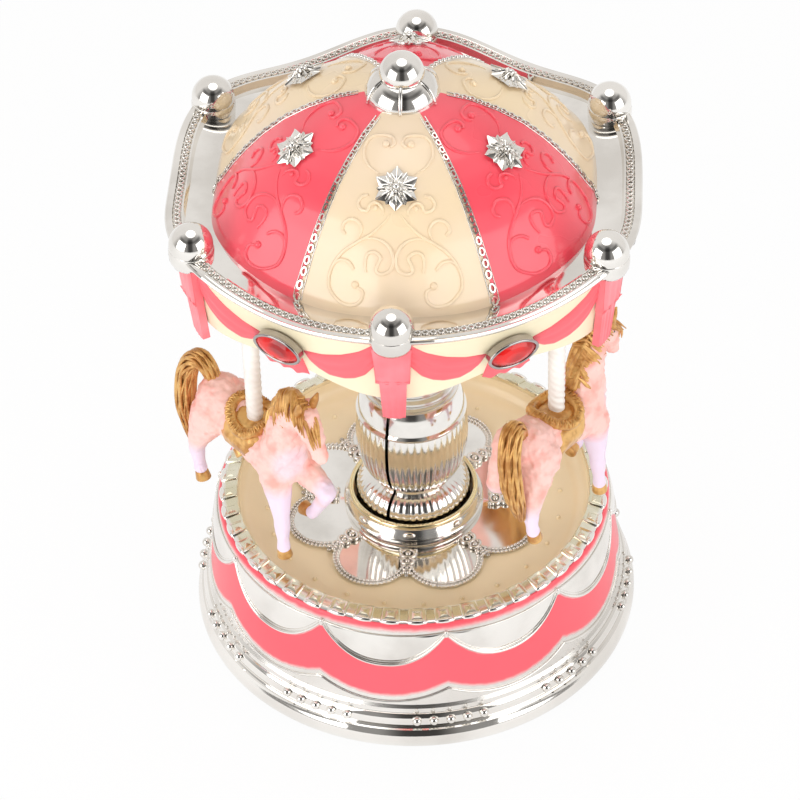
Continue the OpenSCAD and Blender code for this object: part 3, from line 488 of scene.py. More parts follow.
def buildSwags():
    # each swag: a bulging crescent with a rounded lip and a fine inner line
    half = 180 / base["swags"]

    def lay(v):
        phase = v.x * base["swagSpan"]
        share = (v.y + 1) / 2
        low = swagLowEdge(phase) + 0.4 * (1 - abs(phase))
        z = low + max(swagTopEdge(phase) - low, 0.15) * share
        crown = sin(pi * min(max(share * 0.94 + 0.03, 0), 1)) ** 0.6
        bulge = base["bulge"] * crown * (1 - abs(phase) ** 6)
        return polar(wallRadius(z) + 0.12 + bulge, phase * half, z)
    crescent = grid("crescent", 40, 12, lay)

    def edgeLine(edge, out, inset=0):
        phases = [(-1 + k / 16) * 0.97 for k in range(33)]
        return [polar(wallRadius(edge(p) + inset) + out, p * half, edge(p) + inset) for p in phases]
    taper = [0.55 + 0.45 * (1 - abs(-1 + k / 16) ** 3) for k in range(33)]
    lip = wire("swagLip", edgeLine(swagLowEdge, 0.35), base["lip"], 3, radii=taper)
    fine = wire("swagLine", edgeLine(swagLowEdge, 0.62, 1.25), base["lipLine"], 2, radii=taper)
    top = wire("swagTopLine", edgeLine(swagTopEdge, 0.16), base["topLine"], 2)
    knotAt = (wallRadius(base["knotZ"]) + 0.25, 0, base["knotZ"])
    knot = ball("swagKnot", base["knotR"], knotAt, base["knotScale"], 16, 10)
    knot.data.transform(turned(half))
    swag = joined("swag", [crescent, lip, fine, top, knot])
    swags = copies("swags", swag, roundAxis(base["swags"], facing["swag"] + half))
    dress(swags, "base", polished, "plated", "swag_trim")


buildBase()
buildSwags()
print("base done")


# ---- Floor, mirror petals, tile edging and collar ----

deck = {"z": 35, "foot": 33, "hub": 15.5, "wallR": 47.15, "curve": 4.6, "rimR": 49, "rimZ": 40.4,
    "midR": 30, "dots": 24, "dotRing": 39.5, "dotR": 0.62, "dotTurn": 7.5}


def buildFloor():
    z, hub, curve = deck["z"], deck["hub"], deck["curve"]
    turnAt = deck["wallR"] - curve
    profile = [(hub, z), (deck["midR"], z), (turnAt, z)]
    profile += [(turnAt + curve * sin(radians(a)), z + curve * (1 - cos(radians(a)))) for a in range(15, 91, 15)]
    profile += [(deck["wallR"], deck["rimZ"]), (deck["rimR"], deck["rimZ"]), (deck["rimR"], deck["foot"]),
                (hub, deck["foot"]), (hub, z)]
    dish = lathe("floorDish", profile, 160, 30)
    dot = ball("dot", deck["dotR"], (deck["dotRing"], 0, z + 0.05), (1, 1, 1.1), 16, 10)
    dots = copies("floorDots", dot, roundAxis(deck["dots"], facing["petal"] + deck["dotTurn"]))
    tan = paintFinish("floorTan", look["floorTan"], darker(look["floorTan"], 0.93), 0.24, 0.6, 300)
    dress(joined("floorDish", [dish, dots]), "base", tan, "floor_tan", "floor_plate")


# mirror petals; two bead rows as (inset, pitch); ovals over each join as (ring, size); balls as (ring, out)
petal = {"count": 8, "ring": 24.75, "r": 10.55, "z": 35.62, "dish": 0.35, "inner": 16.5, "beadR": 0.5,
    "corners": 72, "rings": 7, "ringStep": 1.3, "beadFrom": 22.5, "beadGap": 0.6,
    "rows": [(0.35, 1.12), (1.4, 1.02)], "beadUp": 0.2, "ovals": [(22, 1.75), (24.7, 1.45), (27.2, 1.05)],
    "ovalWire": 0.34, "ovalStretch": (0.8, 1.05, 1), "heart": 0.5, "ovalUp": 0.55,
    "balls": [(20.6, 1.9), (28.9, 0.55), (30, 0)], "ballR": 0.62, "ballUp": 0.4}


def buildPetals():
    half = 180 / petal["count"]
    middle = Vector((petal["ring"], 0, 0))
    leaf = shape("petal", "circle", vertices=petal["corners"], radius=petal["r"] * mm, fill_type="NGON",
                 location=(petal["ring"] * mm, 0, petal["z"] * mm))
    openMesh()
    for k in range(petal["rings"]):
        bpy.ops.mesh.inset(thickness=petal["ringStep"] * mm, depth=0)
    closeMesh(False)

    def settle(p):
        # cut off at the neighbours' joins and at the collar, and dished
        away = (Vector((p.x, p.y, 0)) - middle).length / petal["r"]
        phi = min(max(degrees(atan2(p.y, p.x)), -half), half)
        r = max(hypot(p.x, p.y), petal["inner"])
        return polar(r, phi, petal["z"] - petal["dish"] * (1 - min(away, 1) ** 2))
    smooth(reshape(leaf, settle))
    petals = copies("mirrorPetals", leaf, roundAxis(petal["count"], facing["petal"] + half))
    pick(petals)
    openMesh()
    bpy.ops.mesh.remove_doubles(threshold=1e-5)
    closeMesh(False)
    dress(petals, "base", mirror, "plated", "petal_rosette")

    places = []
    for inset, pitch in petal["rows"]:
        r = petal["r"] - inset
        count = int(360 / degrees(pitch / r))
        for k in range(count):
            q = middle + polar(r, 360 * k / count, 0)
            if abs(degrees(atan2(q.y, q.x))) > half - petal["beadGap"] or q.length < petal["beadFrom"]:
                continue
            for turn in roundAxis(petal["count"], facing["petal"] + half):
                p = turn @ q
                places.append(at(p.x, p.y, petal["z"] + petal["beadUp"]))
    beads = copies("petalBeads", ball("petalBead", petal["beadR"], around=8, up=6), places)

    ovals = []
    for r, size in petal["ovals"]:
        place = (r, 0, petal["z"] + petal["ovalUp"])
        ovals.append(hoop("oval", size, size * petal["ovalWire"], place, 24, 8, petal["ovalStretch"]))
        ovals.append(ball("ovalHeart", size * petal["heart"], place))
    up = petal["z"] + petal["ballUp"]
    for side in (-1, 1):
        ovals += [ball("joinBall", petal["ballR"], (r, side * out, up)) for r, out in petal["balls"]]
    links = copies("petalLinks", joined("petalLink", ovals), roundAxis(petal["count"], facing["petal"]))
    dress(joined("petalTrim", [beads, links]), "base", polished, "plated")


# corner heights as (inside, outside); insets as (width, rise) of the sunk edge and the raised pad
tile = {"count": 45, "inR": 47.3, "outR": 51.9, "wide": 4.9, "tall": 2.2, "z": 40.9, "round": 0.55,
    "top": (42.1, 41.2), "foot": (40.6, 40), "splay": (0.94, 1.08), "insets": [(0.55, -0.18), (0.9, 0.42)],
    "bed": [(47.25, 40.65), (47.3, 41.45), (47.9, 41.6), (51, 40.9), (51.6, 40.5), (51.6, 40.42),
        (47.25, 40.42), (47.25, 40.65)],
    "scallopAt": (51.35, 0, 40.75), "scallop": (0.9, 2.7, 0.85), "goldFrom": (50.2, 51.3),
    "flat": 0.85, "area": 4}


def buildTiles():
    middle = (tile["inR"] + tile["outR"]) / 2
    one = shape("tile", "cube", size=1, location=(middle * mm, 0, tile["z"] * mm),
                scale=Vector((tile["outR"] - tile["inR"], tile["wide"], tile["tall"])) * mm)

    def slope(p):
        outer = p.x > middle
        return Vector((p.x, p.y * tile["splay"][outer], tile["top" if p.z > tile["z"] else "foot"][outer]))
    applied(reshape(one, slope), "BEVEL", width=tile["round"] * mm, segments=3, limit_method="ANGLE")
    openMesh("FACE", "DESELECT")
    closeMesh(False)
    for face in one.data.polygons:
        face.select = face.normal.z > tile["flat"] and face.area > tile["area"] * mm ** 2
    bpy.ops.object.mode_set(mode="EDIT")
    for wide, rise in tile["insets"]:
        bpy.ops.mesh.inset(thickness=wide * mm, depth=rise * mm)
    closeMesh(False)
    places = roundAxis(tile["count"], facing["swag"])
    tiles = copies("tiles", smooth(one, 28), places)
    bed = lathe("tileBed", tile["bed"], 180, 30)
    edges = copies("tileScallops", ball("scallop", 1, tile["scallopAt"], tile["scallop"], 14, 8), places)
    made = Finish("tileSilver", Metallic=1)
    cloud = made.noise(90, 3)
    x, y = made.place.axes()[:2]
    inside = 1 - ((x * x + y * y) ** 0.5 / mm).step(*tile["goldFrom"])
    warm = cloud.step(0.35, 0.65).mixed(look["tileGold"], look["tileGoldShade"])
    made.feed("Base Color", inside.mixed(look["silver"], warm))
    made.feed("Roughness", inside * 0.1 + cloud * 0.05 + 0.07)
    made.bump(made.noise(240, 2), 0.05, 0.3)
    dress(joined("tileEdging", [tiles, bed, edges]), "base", made.material, "plated", "tile_edging")


# the ring that the column turns in: foot band, sloped band with studs, beaded lip
collar = {"outline": [(15.95, 35.3), (18.3, 35.1), (18.65, 35.5), (18.75, 36.3), (18.7, 37.2), (18.4, 37.5),
        (18.45, 37.75), (18.2, 38.2), (17.55, 39.5), (17.2, 39.95), (17.1, 40.3), (17.3, 40.6),
        (17.2, 41.1), (16.8, 41.45), (16.3, 41.5), (16, 41.2), (15.95, 40.4), (15.95, 35.3)],
    "studs": 8, "studAt": (17.75, 0, 38.8), "stud": (0.6, 1.7, 1),
    "beads": 120, "beadR": 0.3, "beadAt": (16.75, 0, 41.42), "lipReflectionFrom": (40.2, 40.6)}


def buildCollar():
    ring = lathe("collarRing", collar["outline"], 128, 40)
    stud = ball("stud", 1, collar["studAt"], collar["stud"], 16, 10)
    studs = copies("collarStuds", stud, roundAxis(collar["studs"], facing["petal"]))
    bead = ball("collarBead", collar["beadR"], collar["beadAt"], around=8, up=6)
    beads = copies("collarBeads", bead, roundAxis(collar["beads"], 0))
    made = Finish("collarSilver", Metallic=1)
    cloud = made.noise(60, 4)
    height = made.place.axes()[2] / mm
    plate = cloud.step(0.35, 0.7).mixed(look["silver"], look["silverShade"])
    # the silver lip is tinted cream from this height up: a painted reflection of the cream and pink parts around it
    made.feed("Base Color", height.step(*collar["lipReflectionFrom"]).mixed(plate, look["lipReflectionCream"]))
    made.feed("Roughness", cloud * 0.06 + 0.08)
    made.bump(made.noise(190, 2), 0.03, 0.4)
    dress(joined("collarRing", [ring, studs, beads]), "base", made.material, "plated", "collar")


buildFloor()
buildPetals()
buildTiles()
buildCollar()
print("floor done")


# ---- Column: two fluted shells with an open seam, and the stepped neck above ----

# (radius, height, share of the flute depth) up the outside; the neck's steps are inward from r and up
column = {"flutes": 48, "fluteSteps": 6, "depth": 0.3, "seam": 0.95, "r": 14.6,
    "outline": [(14.6, 37.8, 1), (15.2, 39.6, 1), (15.3, 41.2, 1), (15.1, 43, 1), (14.4, 44.6, 1),
        (13.3, 45.8, 1), (12.1, 46.6, 0.9), (11.2, 46.95, 0.3), (10.8, 47.2, 0), (10.7, 47.8, 0),
        (11, 48.2, 0), (11.8, 48.9, 0.6), (12.7, 50.2, 1), (13.6, 52.4, 1), (14.3, 55.2, 1),
        (14.75, 58.6, 1), (14.9, 61.6, 1), (14.8, 65.4, 1), (14.5, 68.7, 1), (14.35, 69.2, 0.3),
        (14.55, 69.5, 0), (14.6, 70, 0), (14.3, 70.5, 0), (14.05, 70.8, 0), (13.95, 72.6, 0),
        (13.35, 75, 0), (12.7, 76.8, 0), (12.3, 77.35, 0), (11.6, 77.4, 0)],
    "inside": [(10.6, 76.8), (12.4, 70), (12.6, 64.6), (9.6, 52), (8.6, 47.5), (12.6, 43.6), (12.8, 37.8)],
    "neckZ": 77.5, "neckR": 8.6, "top": 128.35,
    "steps": [(2.1, 0), (1.95, 0.4), (1.95, 0.9), (2.4, 1.35), (2.75, 1.5), (2.8, 2), (2.65, 2.4), (2.8, 2.9),
        (3.35, 3.3), (3.7, 3.5), (3.75, 4), (3.6, 4.4), (3.8, 5), (4.6, 5.4), (5.3, 6.2), (6, 7.5)],
    "flare": [(0, 100), (0, 123.4), (0.5, 125.6), (1.5, 127.3), (3, 128.35)]}


def buildColumn():
    outline, inner = column["outline"], column["inside"]
    half = degrees(asin(column["seam"] / 2 / column["r"]))
    line = [(r, h) for r, h, share in outline] + inner + [outline[0][:2]]
    shell = lathe("columnShell", line, column["flutes"] // 2 * column["fluteSteps"], 30,
                  180 - 2 * half, facing["seam"] + half)
    shares = sorted((h, share) for r, h, share in outline)
    innerSet = {(round(r, 2), round(h, 2)) for r, h in inner}

    def flute(p):
        r = hypot(p.x, p.y)
        if (round(r, 2), round(p.z, 2)) in innerSet:
            return p
        a = atan2(p.y, p.x) - radians(facing["seam"])
        wave = abs(sin(a * column["flutes"] / 2))
        k = 1 - column["depth"] * along(shares, p.z) * (1 - wave ** 0.6) / r
        return Vector((p.x * k, p.y * k, p.z))
    pick(reshape(shell, flute))
    openMesh("EDGE", "DESELECT")
    bpy.ops.mesh.select_non_manifold()
    bpy.ops.mesh.edge_face_add()
    closeMesh()
    smooth(shell, 42)
    for name, node, angle in (("columnShellFront", "column_half_a", 0), ("columnShellBack", "column_half_b", 180)):
        part = placed(shell, turned(angle))
        part.name = name
        dress(part, "carousel", fluted, "plated", node)
    bpy.data.objects.remove(shell, do_unlink=True)


def buildNeck():
    z, r, bore = column["neckZ"], column["neckR"], column["neckR"] - 1.5
    profile = [(bore, z)] + [(column["r"] - inward, z + up) for inward, up in column["steps"]]
    profile += [(r + out, height) for out, height in column["flare"]] + [(bore, column["top"]), (bore, z)]
    dress(lathe("columnNeck", profile, 96, 30), "carousel", satinSilver, "plated", "column_sleeve")


buildColumn()
buildNeck()
print("column done")


# ---- Canopy top: dome with panels, scrolls, ribs and flowers, finial, lobed tray and balls ----

# the curve is (share of the radius, share of the height) up the dome
canopy = {"domeR": 49, "domeZ": 143.1, "domeH": 31, "lobeR": 1.5, "lobeZ": 1.5, "thick": 1.6,
    "curve": [(1, 0), (0.98, 0.09), (0.94, 0.17), (0.888, 0.29), (0.816, 0.43), (0.724, 0.58),
        (0.612, 0.725), (0.49, 0.835), (0.347, 0.93), (0.184, 0.99)],
    "crownHole": (8, 172.2), "footIn": (47, 143.1)}
# the tray's outline from its radius r: outer and dish above trayZ, roll above top
rim = {"r": 60.5, "trayZ": 143.6, "top": 146.1, "rings": 192, "ringR": 0.68, "ringWire": 0.27, "ringTurn": 20,
    "ringAt": (-3, -0.08),
    "outer": [(-3, 0.2), (-1.2, 0.5), (-0.35, 1), (-0.05, 1.5), (0.05, 2), (-0.25, 2.35)],
    "roll": [(-0.55, -0.2), (-0.9, 0), (-1.4, 0.1), (-1.85, -0.05), (-2.05, -0.4), (-3.95, -0.4), (-4.1, -0.1),
        (-4.5, -0.2)],
    "dish": [(-4.8, 1), (-5, 0.3), (-10.3, -0.4), (-13.5, -0.3), (-13.5, -1), (-10.5, -1.1), (-3.4, 0.05),
        (-3, 0.2)]}
knob = {"r": 5.5, "at": (58.3, 0, 148.6),
    "cup": [(0.01, 142.4), (3.6, 142.5), (5, 143.3), (5.55, 144.6), (5.68, 146.2), (5.65, 147.2),
        (5.45, 147.7), (5.2, 147.7), (5.2, 146), (4.6, 144.2), (0.01, 143.2)]}


def lobe(angle):
    return cos(radians(6 * (angle - facing["ball"])))


def lobed(piece, outward, upward):
    # swings a spun piece out and up at the six balls
    def swing(p):
        r = hypot(p.x, p.y)
        wave = lobe(degrees(atan2(p.y, p.x)))
        k = 1 + outward(r) * wave / r
        return Vector((p.x * k, p.y * k, p.z + upward(p.z) * wave))
    return reshape(piece, swing)


def domeAt(s, angle, lift=0):
    # a point on the dome and its slope, s counted in corners of the curve from the foot
    curve, wide, tall = canopy["curve"], canopy["domeR"], canopy["domeH"]
    k = min(int(s), len(curve) - 2)
    r, h = lineAt(curve, s)
    dr, dh = curve[k + 1][0] - curve[k][0], curve[k + 1][1] - curve[k][1]
    n = Vector((dh * tall, -dr * wide)).normalized()
    wave = lobe(angle)
    radius = wide * r + 0.8 * canopy["lobeR"] * r * wave + n.x * lift
    height = canopy["domeZ"] + tall * h + canopy["lobeZ"] * wave * (1 - h) + n.y * lift
    return polar(radius, angle, height), n


def domePaint():
    made = Finish("domePaint", Coat_Weight=0.55, Coat_Roughness=0.08)
    x, y = made.place.axes()[:2]
    turn = (y.maths("ARCTAN2", x) * (180 / pi) - facing["ball"]) / 120 + 0.25
    pinkPanel = (turn.maths("FRACT") - 0.5).maths("GREATER_THAN", 0)
    cloud = made.noise(26, 3)
    cream = cloud.step(0.3, 0.75).mixed(look["domeCream"], look["domeCreamSoft"])
    pink = cloud.step(0.3, 0.75).mixed(look["domePink"], look["domePinkSoft"])
    made.feed("Base Color", pinkPanel.mixed(cream, pink))
    made.feed("Roughness", cloud * 0.08 + 0.24)
    made.bump(made.noise(120, 2) * 0.1 + made.noise(1500, 2) * 0.02, 0.5, 0.4)
    return made.material


def buildDome():
    outer = []
    for k in range(37):
        p = domeAt(k / 4, facing["ball"] + 15)[0]   # between a ball and a gem, where the lobe is nothing
        outer.append((hypot(p.x, p.y), p.z))
    thick, foot = canopy["thick"], canopy["footIn"][1]
    inner = [(r - thick, max(z - thick, foot + 0.05)) for r, z in outer[::-3] if r - thick > 9]
    dome = lathe("domeShell", outer + [canopy["crownHole"]] + inner + [canopy["footIn"], outer[0]], 180, 50)
    crown = canopy["domeZ"] + canopy["domeH"]
    lobed(dome, lambda r: 0.8 * canopy["lobeR"] * r / canopy["domeR"],
          lambda z: canopy["lobeZ"] * min(max((crown - z) / canopy["domeH"], 0), 1))
    dress(dome, "carousel", paintedDome, "cream", "dome")


# half of a panel's scrollwork: corners up the dome, degrees from the panel's middle
scrolls = {"wide": 0.46, "rise": 0.02, "lines": [
        [(5.4, 2), (5.05, 4.8), (4.6, 9), (4.25, 13.5), (3.8, 17.8), (3.1, 20.6), (2.3, 21), (1.6, 19.2),
        (1, 15.8), (0.87, 12.1), (1.3, 9.6), (2, 9.3), (2.2, 11)],
        [(3.1, 20.6), (3.4, 18.7), (3.4, 15.3), (3.1, 13.1)],
        [(4.3, 12.8), (4.48, 8.6), (4.4, 4.4), (4.1, 1.4), (3.62, 0.4), (3.2, 1.4), (3.03, 4), (3.16, 5.7),
        (3.46, 5.3), (3.76, 4.6), (3.96, 6.8), (3.85, 9.1), (3.48, 9.6), (3.05, 8.9)],
        [(4.2, 14), (4.65, 12.6), (4.95, 13.9), (5.05, 17.2), (4.88, 20), (4.6, 20.4), (4.45, 18.6)],
        [(5.3, 5), (5.54, 5.3), (5.75, 8.2), (5.66, 11), (5.42, 11.9), (5.44, 15.1), (5.65, 16.7),
        (5.88, 15.3), (5.95, 12.6)],
        [(6.8, 9.6), (7, 16.9), (7.28, 22.3), (7.65, 25), (8, 23.1), (8.17, 14.5), (8.17, 6), (7.95, 3),
        (7.78, 6.2)]],
    "dots": [(7.88, 9.6, 0.95), (2.33, 11.9, 0.95), (5.56, 8.4, 0.6)]}


def buildScrolls():
    pieces = []
    for chain in scrolls["lines"]:
        last = 4 * (len(chain) - 1)
        fine = [curveAt(chain, k / 4) for k in range(last + 1)]
        thick = [0.3 + 0.7 * min(1, 5 * k / last) * min(1, 4 * (last - k) / last + 0.6) for k in range(last + 1)]
        for side in (-1, 1):
            points = [domeAt(s, facing["ball"] + side * across, scrolls["rise"])[0] for s, across in fine]
            pieces.append(wire("scroll", points, scrolls["wide"], 2, radii=thick))
    for s, across, size in scrolls["dots"]:
        pieces += [ball("scrollDot", size, domeAt(s, facing["ball"] + side * across)[0], around=16)
                   for side in (-1, 1)]
    relief = copies("domeScrolls", joined("panelScrolls", pieces), roundAxis(6, 0))
    dress(relief, "carousel", paintedDome, "cream")


def tilted(p, n, angle=0):
    # onto the dome at p, leaning with its slope
    return at(*p) @ turned(angle) @ Matrix.Rotation(atan2(n.x, n.y), 4, "Y")


# sizes at the foot, and what each corner of the dome's curve takes off them
rib = {"from": 0.4, "to": 8.6, "lift": 0.25, "step": 0.05, "pitch": (3.2, 0.15), "wide": (0.9, 0.04), "ringWire": 0.44,
    "ringScale": (0.345, 0.8, 0.8), "edge": (1.2, 0.072), "edgeFrom": 0.25, "edgeLift": 0.1, "edgeWire": 0.16}


def buildRibs():
    # a silver wire each side of every panel join, with open rings between that grow towards the foot
    seam = facing["ball"] + 30
    pieces = []
    for side in (-1, 1):
        points = []
        for k in range(35):
            p = domeAt(rib["edgeFrom"] + k / 4, seam, rib["edgeLift"])[0]
            points.append((hypot(p.x, p.y), side * (rib["edge"][0] - rib["edge"][1] * k / 4), p.z))
        pieces.append(wire("ribEdge", points, rib["edgeWire"], 2))
    s = rib["from"]
    while s < rib["to"]:
        p, n = domeAt(s, seam, rib["lift"])
        pitch, wide = (foot - less * s for foot, less in (rib["pitch"], rib["wide"]))
        ring = hoop("ribRing", 1, rib["ringWire"])
        x, y, z = rib["ringScale"]
        ring.data.transform(tilted((hypot(p.x, p.y), 0, p.z), n) @ Matrix.Diagonal((pitch * x, wide * y, z, 1)))
        pieces.append(ring)
        s += rib["step"] * pitch / (domeAt(s + rib["step"], seam, rib["lift"])[0] - p).length
    ribs = copies("ribChains", joined("rib", pieces), roundAxis(6, seam))
    dress(ribs, "carousel", polished, "plated", "rib_chains")


# layers of the star flower: reach, half width, height of the ridge, turn
flower = {"at": 6.28, "layers": [(5, 2.2, 0.75, 30), (6, 2.3, 1.15, 0), (3.1, 1.2, 1.9, 30)],
    "heart": 0.95, "seedR": 0.42, "seedRing": 1.35, "plateR": 3.4, "plateThick": 0.7, "veins": (0.2, 0.17)}


def buildFlowers():
    pieces = []
    for out, half, rise, turn in flower["layers"]:
        def point(p):
            # the cone's tip becomes the ridge, its corners the tip, the root and the sides
            if p.z > 0.2:
                return Vector((out * 0.5, 0, rise))
            if abs(p.x) > 0.5:
                return Vector((out, 0, rise * 0.3 + 0.1) if p.x > 0 else (out * 0.08, 0, rise * 0.3 + 0.3))
            return Vector((out * 0.52, half if p.y > 0 else -half, rise * 0.15))
        cone = shape("petalCone", "cone", vertices=4, radius1=mm, radius2=0, depth=mm)
        leaf = applied(reshape(cone, point), "BEVEL", width=0.16 * mm, segments=2, limit_method="NONE")
        ridge = [(out * 0.2, 0, rise * 0.8), (out * 0.5, 0, rise + 0.05), (out * 0.93, 0, rise * 0.45 + 0.1)]
        veins = [wire("vein", ridge, flower["veins"][0], 1)]
        for side in (-1, 1):
            branch = [(out * 0.3, 0, rise * 0.8), (out * 0.62, side * half * 0.55, rise * 0.55 + 0.1)]
            veins.append(wire("vein", branch, flower["veins"][1], 1))
        pieces.append(copies("petalLayer", joined("petal", [leaf] + veins), roundAxis(6, turn)))
    pieces.append(ball("heart", flower["heart"], (0, 0, 1.9)))
    pieces += [ball("heart", flower["seedR"], polar(flower["seedRing"], 60 * k, 1.95), around=8, up=6)
               for k in range(6)]
    pieces.append(shape("plate", "cylinder", vertices=12, radius=flower["plateR"] * mm,
                        depth=flower["plateThick"] * mm, location=(0, 0, 0.1 * mm)))
    star = smooth(joined("flower", pieces), 30)
    angles = [facing["ball"] + 60 * i for i in range(6)]
    stars = copies("flowerStuds", star, [tilted(*domeAt(flower["at"], angle, 0.1), angle) for angle in angles])
    dress(stars, "carousel", polished, "plated", "flower_studs")


finial = {"ballR": 5.6, "ballZ": 179.4, "bellZ": 173.5, "ribWire": 0.48, "ribOut": 0.12,
    "bell": [(0.01, -0.4), (9.3, -0.4), (9.3, 0.3), (9.15, 1.1), (8.75, 2.2), (8.1, 3.3), (7.2, 4.3), (6.3, 5),
        (5.5, 5.4), (5, 5.3), (0.01, 4.6)]}


def buildFinial():
    out = finial["ribOut"]
    outline = [(r, finial["bellZ"] + h) for r, h in finial["bell"]]
    bell = lathe("finialBell", outline, 72, 40)
    top = ball("finialBall", finial["ballR"], (0, 0, finial["ballZ"]), around=64, up=40)
    rib = wire("bellRib", [(r + out, 0, z + out) for r, z in outline[2:-2]], finial["ribWire"], 3)
    crown = joined("crownFinial", [bell, top, copies("bellRibs", rib, roundAxis(6, facing["ball"]))])
    dress(crown, "carousel", polished, "plated", "crown_finial")


def buildTray():
    # rolled rim, band of open rings, dished ring to the dome; all swung by the lobes
    r, low, top = rim["r"], rim["trayZ"], rim["top"]
    parts = ((rim["outer"], low), (rim["roll"], top), (rim["dish"], low))
    tray = lathe("canopyTray", [(r + out, z + up) for part, z in parts for out, up in part], 240, 35)
    lobed(tray, lambda r: canopy["lobeR"], lambda z: canopy["lobeZ"])
    out, up = rim["ringAt"]
    places = []
    for k in range(rim["rings"]):
        a = 360 * k / rim["rings"]
        place = polar(r + out + canopy["lobeR"] * lobe(a), a, top + up + canopy["lobeZ"] * lobe(a))
        places.append(at(*place) @ turned(a + rim["ringTurn"]))
    chain = copies("rimChain", hoop("chainRing", rim["ringR"], rim["ringWire"], around=12), places)
    dress(joined("canopyTray", [tray, chain]), "carousel", mirror, "plated", "canopy_tray")


def buildBalls():
    cup = lathe("ballCup", knob["cup"], 40, 40)
    cup.data.transform(at(knob["at"][0], 0, 0))
    unit = joined("cornerBall", [ball("ball", knob["r"], knob["at"], around=56, up=36), cup])
    balls = copies("cornerBalls", unit, roundAxis(6, facing["ball"]))
    dress(balls, "carousel", polished, "plated", "corner_balls")


paintedDome = domePaint()
buildDome()
buildScrolls()
buildRibs()
buildFlowers()
buildFinial()
buildTray()
buildBalls()
print("canopy top done")


# ---- Valance: cream skirt with pink drapes, tassels under the balls, gems between ----

# drape edges as (degrees from the ball, height); line is the skirt's outside as (height, radius)
skirt = {"topZ": 143.4, "kneeZ": 137.4, "lowZ": 125.4, "rise": 1.5, "drop": 1.4,
    "line": [(125.4, 54.9), (137.4, 56.6), (143.4, 57.5)],
    "outline": [(57.5, 143.4), (57.1, 140.4), (56.6, 137.4), (56.2, 134.4), (55.75, 131.4), (55.3, 128.4),
        (55, 126.2), (54.9, 125.7), (54.75, 125.4), (54, 125.4), (53.6, 125.7), (53.5, 128.4),
        (54.9, 137.4), (55.9, 143.4), (57.5, 143.4)],
    "drapeTop": [(2, 145.5), (4, 143.6), (8, 140.2), (12.7, 137.4), (18, 135.2), (24, 133.7)],
    "drapeLow": [(2, 137.6), (4, 136), (6.8, 131.8), (9.5, 129.8), (12.3, 128.7), (16.5, 128.2),
        (19.5, 129.2), (21.5, 130.8), (24, 133.5)],
    "drapeFrom": 2.2, "drapeSpan": 21.6, "swell": 0.95, "fold": 0.16, "fanAt": 30, "fanTop": 131.5,
    "fanLow": 124.1, "fanWide": 5.2, "fanFlare": 1.9, "fanSwell": 1.05, "pleat": 0.22}


def skirtAt(angle, z, out):
    turn = facing["ball"] + angle
    return polar(along(skirt["line"], z) + canopy["lobeR"] * lobe(turn) + out, turn, z)


def buildValance():
    top, knee, low = skirt["topZ"], skirt["kneeZ"], skirt["lowZ"]
    hem = lathe("valanceSkirt", skirt["outline"], 240, 40)
    lobed(hem, lambda r: canopy["lobeR"],
          lambda z: skirt["rise"] * (z - knee) / (top - knee) if z >= knee
          else skirt["drop"] * (z - knee) / (knee - low))
    dress(hem, "carousel", creamPaint, "cream", "valance")

    def hang(v):
        # from a tassel to a gem, with folds gathered at the tassel
        reach, share = (v.x + 1) / 2, (v.y + 1) / 2
        u = skirt["drapeFrom"] + reach * skirt["drapeSpan"]
        foot = along(skirt["drapeLow"], u)
        z = foot + (along(skirt["drapeTop"], u) - foot) * share
        fold = skirt["fold"] * sin(share * 17 + reach * 2.5) * sin(pi * share) * (1 - reach) ** 0.7
        edge = min(share, 1 - share) * 2
        swell = skirt["swell"] * min(1, edge * 3.2) ** 0.5 * (0.75 + 0.35 * sin(pi * min(reach * 1.3, 1)))
        return skirtAt(u, z, -0.12 + (swell + fold) * min(1, (1 - reach) * 9 + 0.1))
    drape = grid("drape", 44, 20, hang)
    flip = turned(2 * facing["ball"]) @ Matrix.Scale(-1, 4, Vector((0, 1, 0)))
    pair = copies("drapePair", drape, [Matrix.Identity(4), flip])

    def fanned(v):
        # the cloth below each gem
        share = (v.y + 1) / 2
        bottom = skirt["fanLow"] + 0.75 * abs(sin(v.x * 5.2 + 0.6)) + 1.9 * max(0, abs(v.x) - 0.62) ** 1.2
        z = bottom + (skirt["fanTop"] - bottom) * share
        u = skirt["fanAt"] + v.x * (skirt["fanWide"] + skirt["fanFlare"] * (1 - share))
        swell = skirt["fanSwell"] + skirt["pleat"] * cos(v.x * 11) * (1 - share)
        crown = min(1, (1 - abs(v.x)) * 6) ** 0.5 * min(1, share * 9 + 0.15)
        return skirtAt(u, max(z, skirt["fanLow"] + 0.2), -0.15 + swell * crown)
    drapes = copies("drapes", joined("drapeUnit", [pair, grid("fan", 40, 14, fanned)]), roundAxis(6, 0))
    dress(drapes, "carousel", pinkPaint, "soft_pink")


# head and tail: foot and height, radius at z 126 and its slope, half width and what it gains upwards, ripple
tassel = {"head": {"foot": 132.2, "tall": 11.8, "r": 58.35, "slope": 0.085, "half": 4.15, "gain": 0.75, "ripple": 0.1},
    "tail": {"foot": 119.6, "tall": 13.2, "r": 57.75, "slope": 0.1, "half": 2.75, "gain": 0.6, "ripple": 0.14},
    "levelZ": 126, "crown": 0.35, "drop": 0.5, "round": 0.3, "bend": 50,
    "stitches": 17, "stitchR": 0.2, "stitchStep": 0.5, "stitchAt": (60.25, 0, 132.9)}


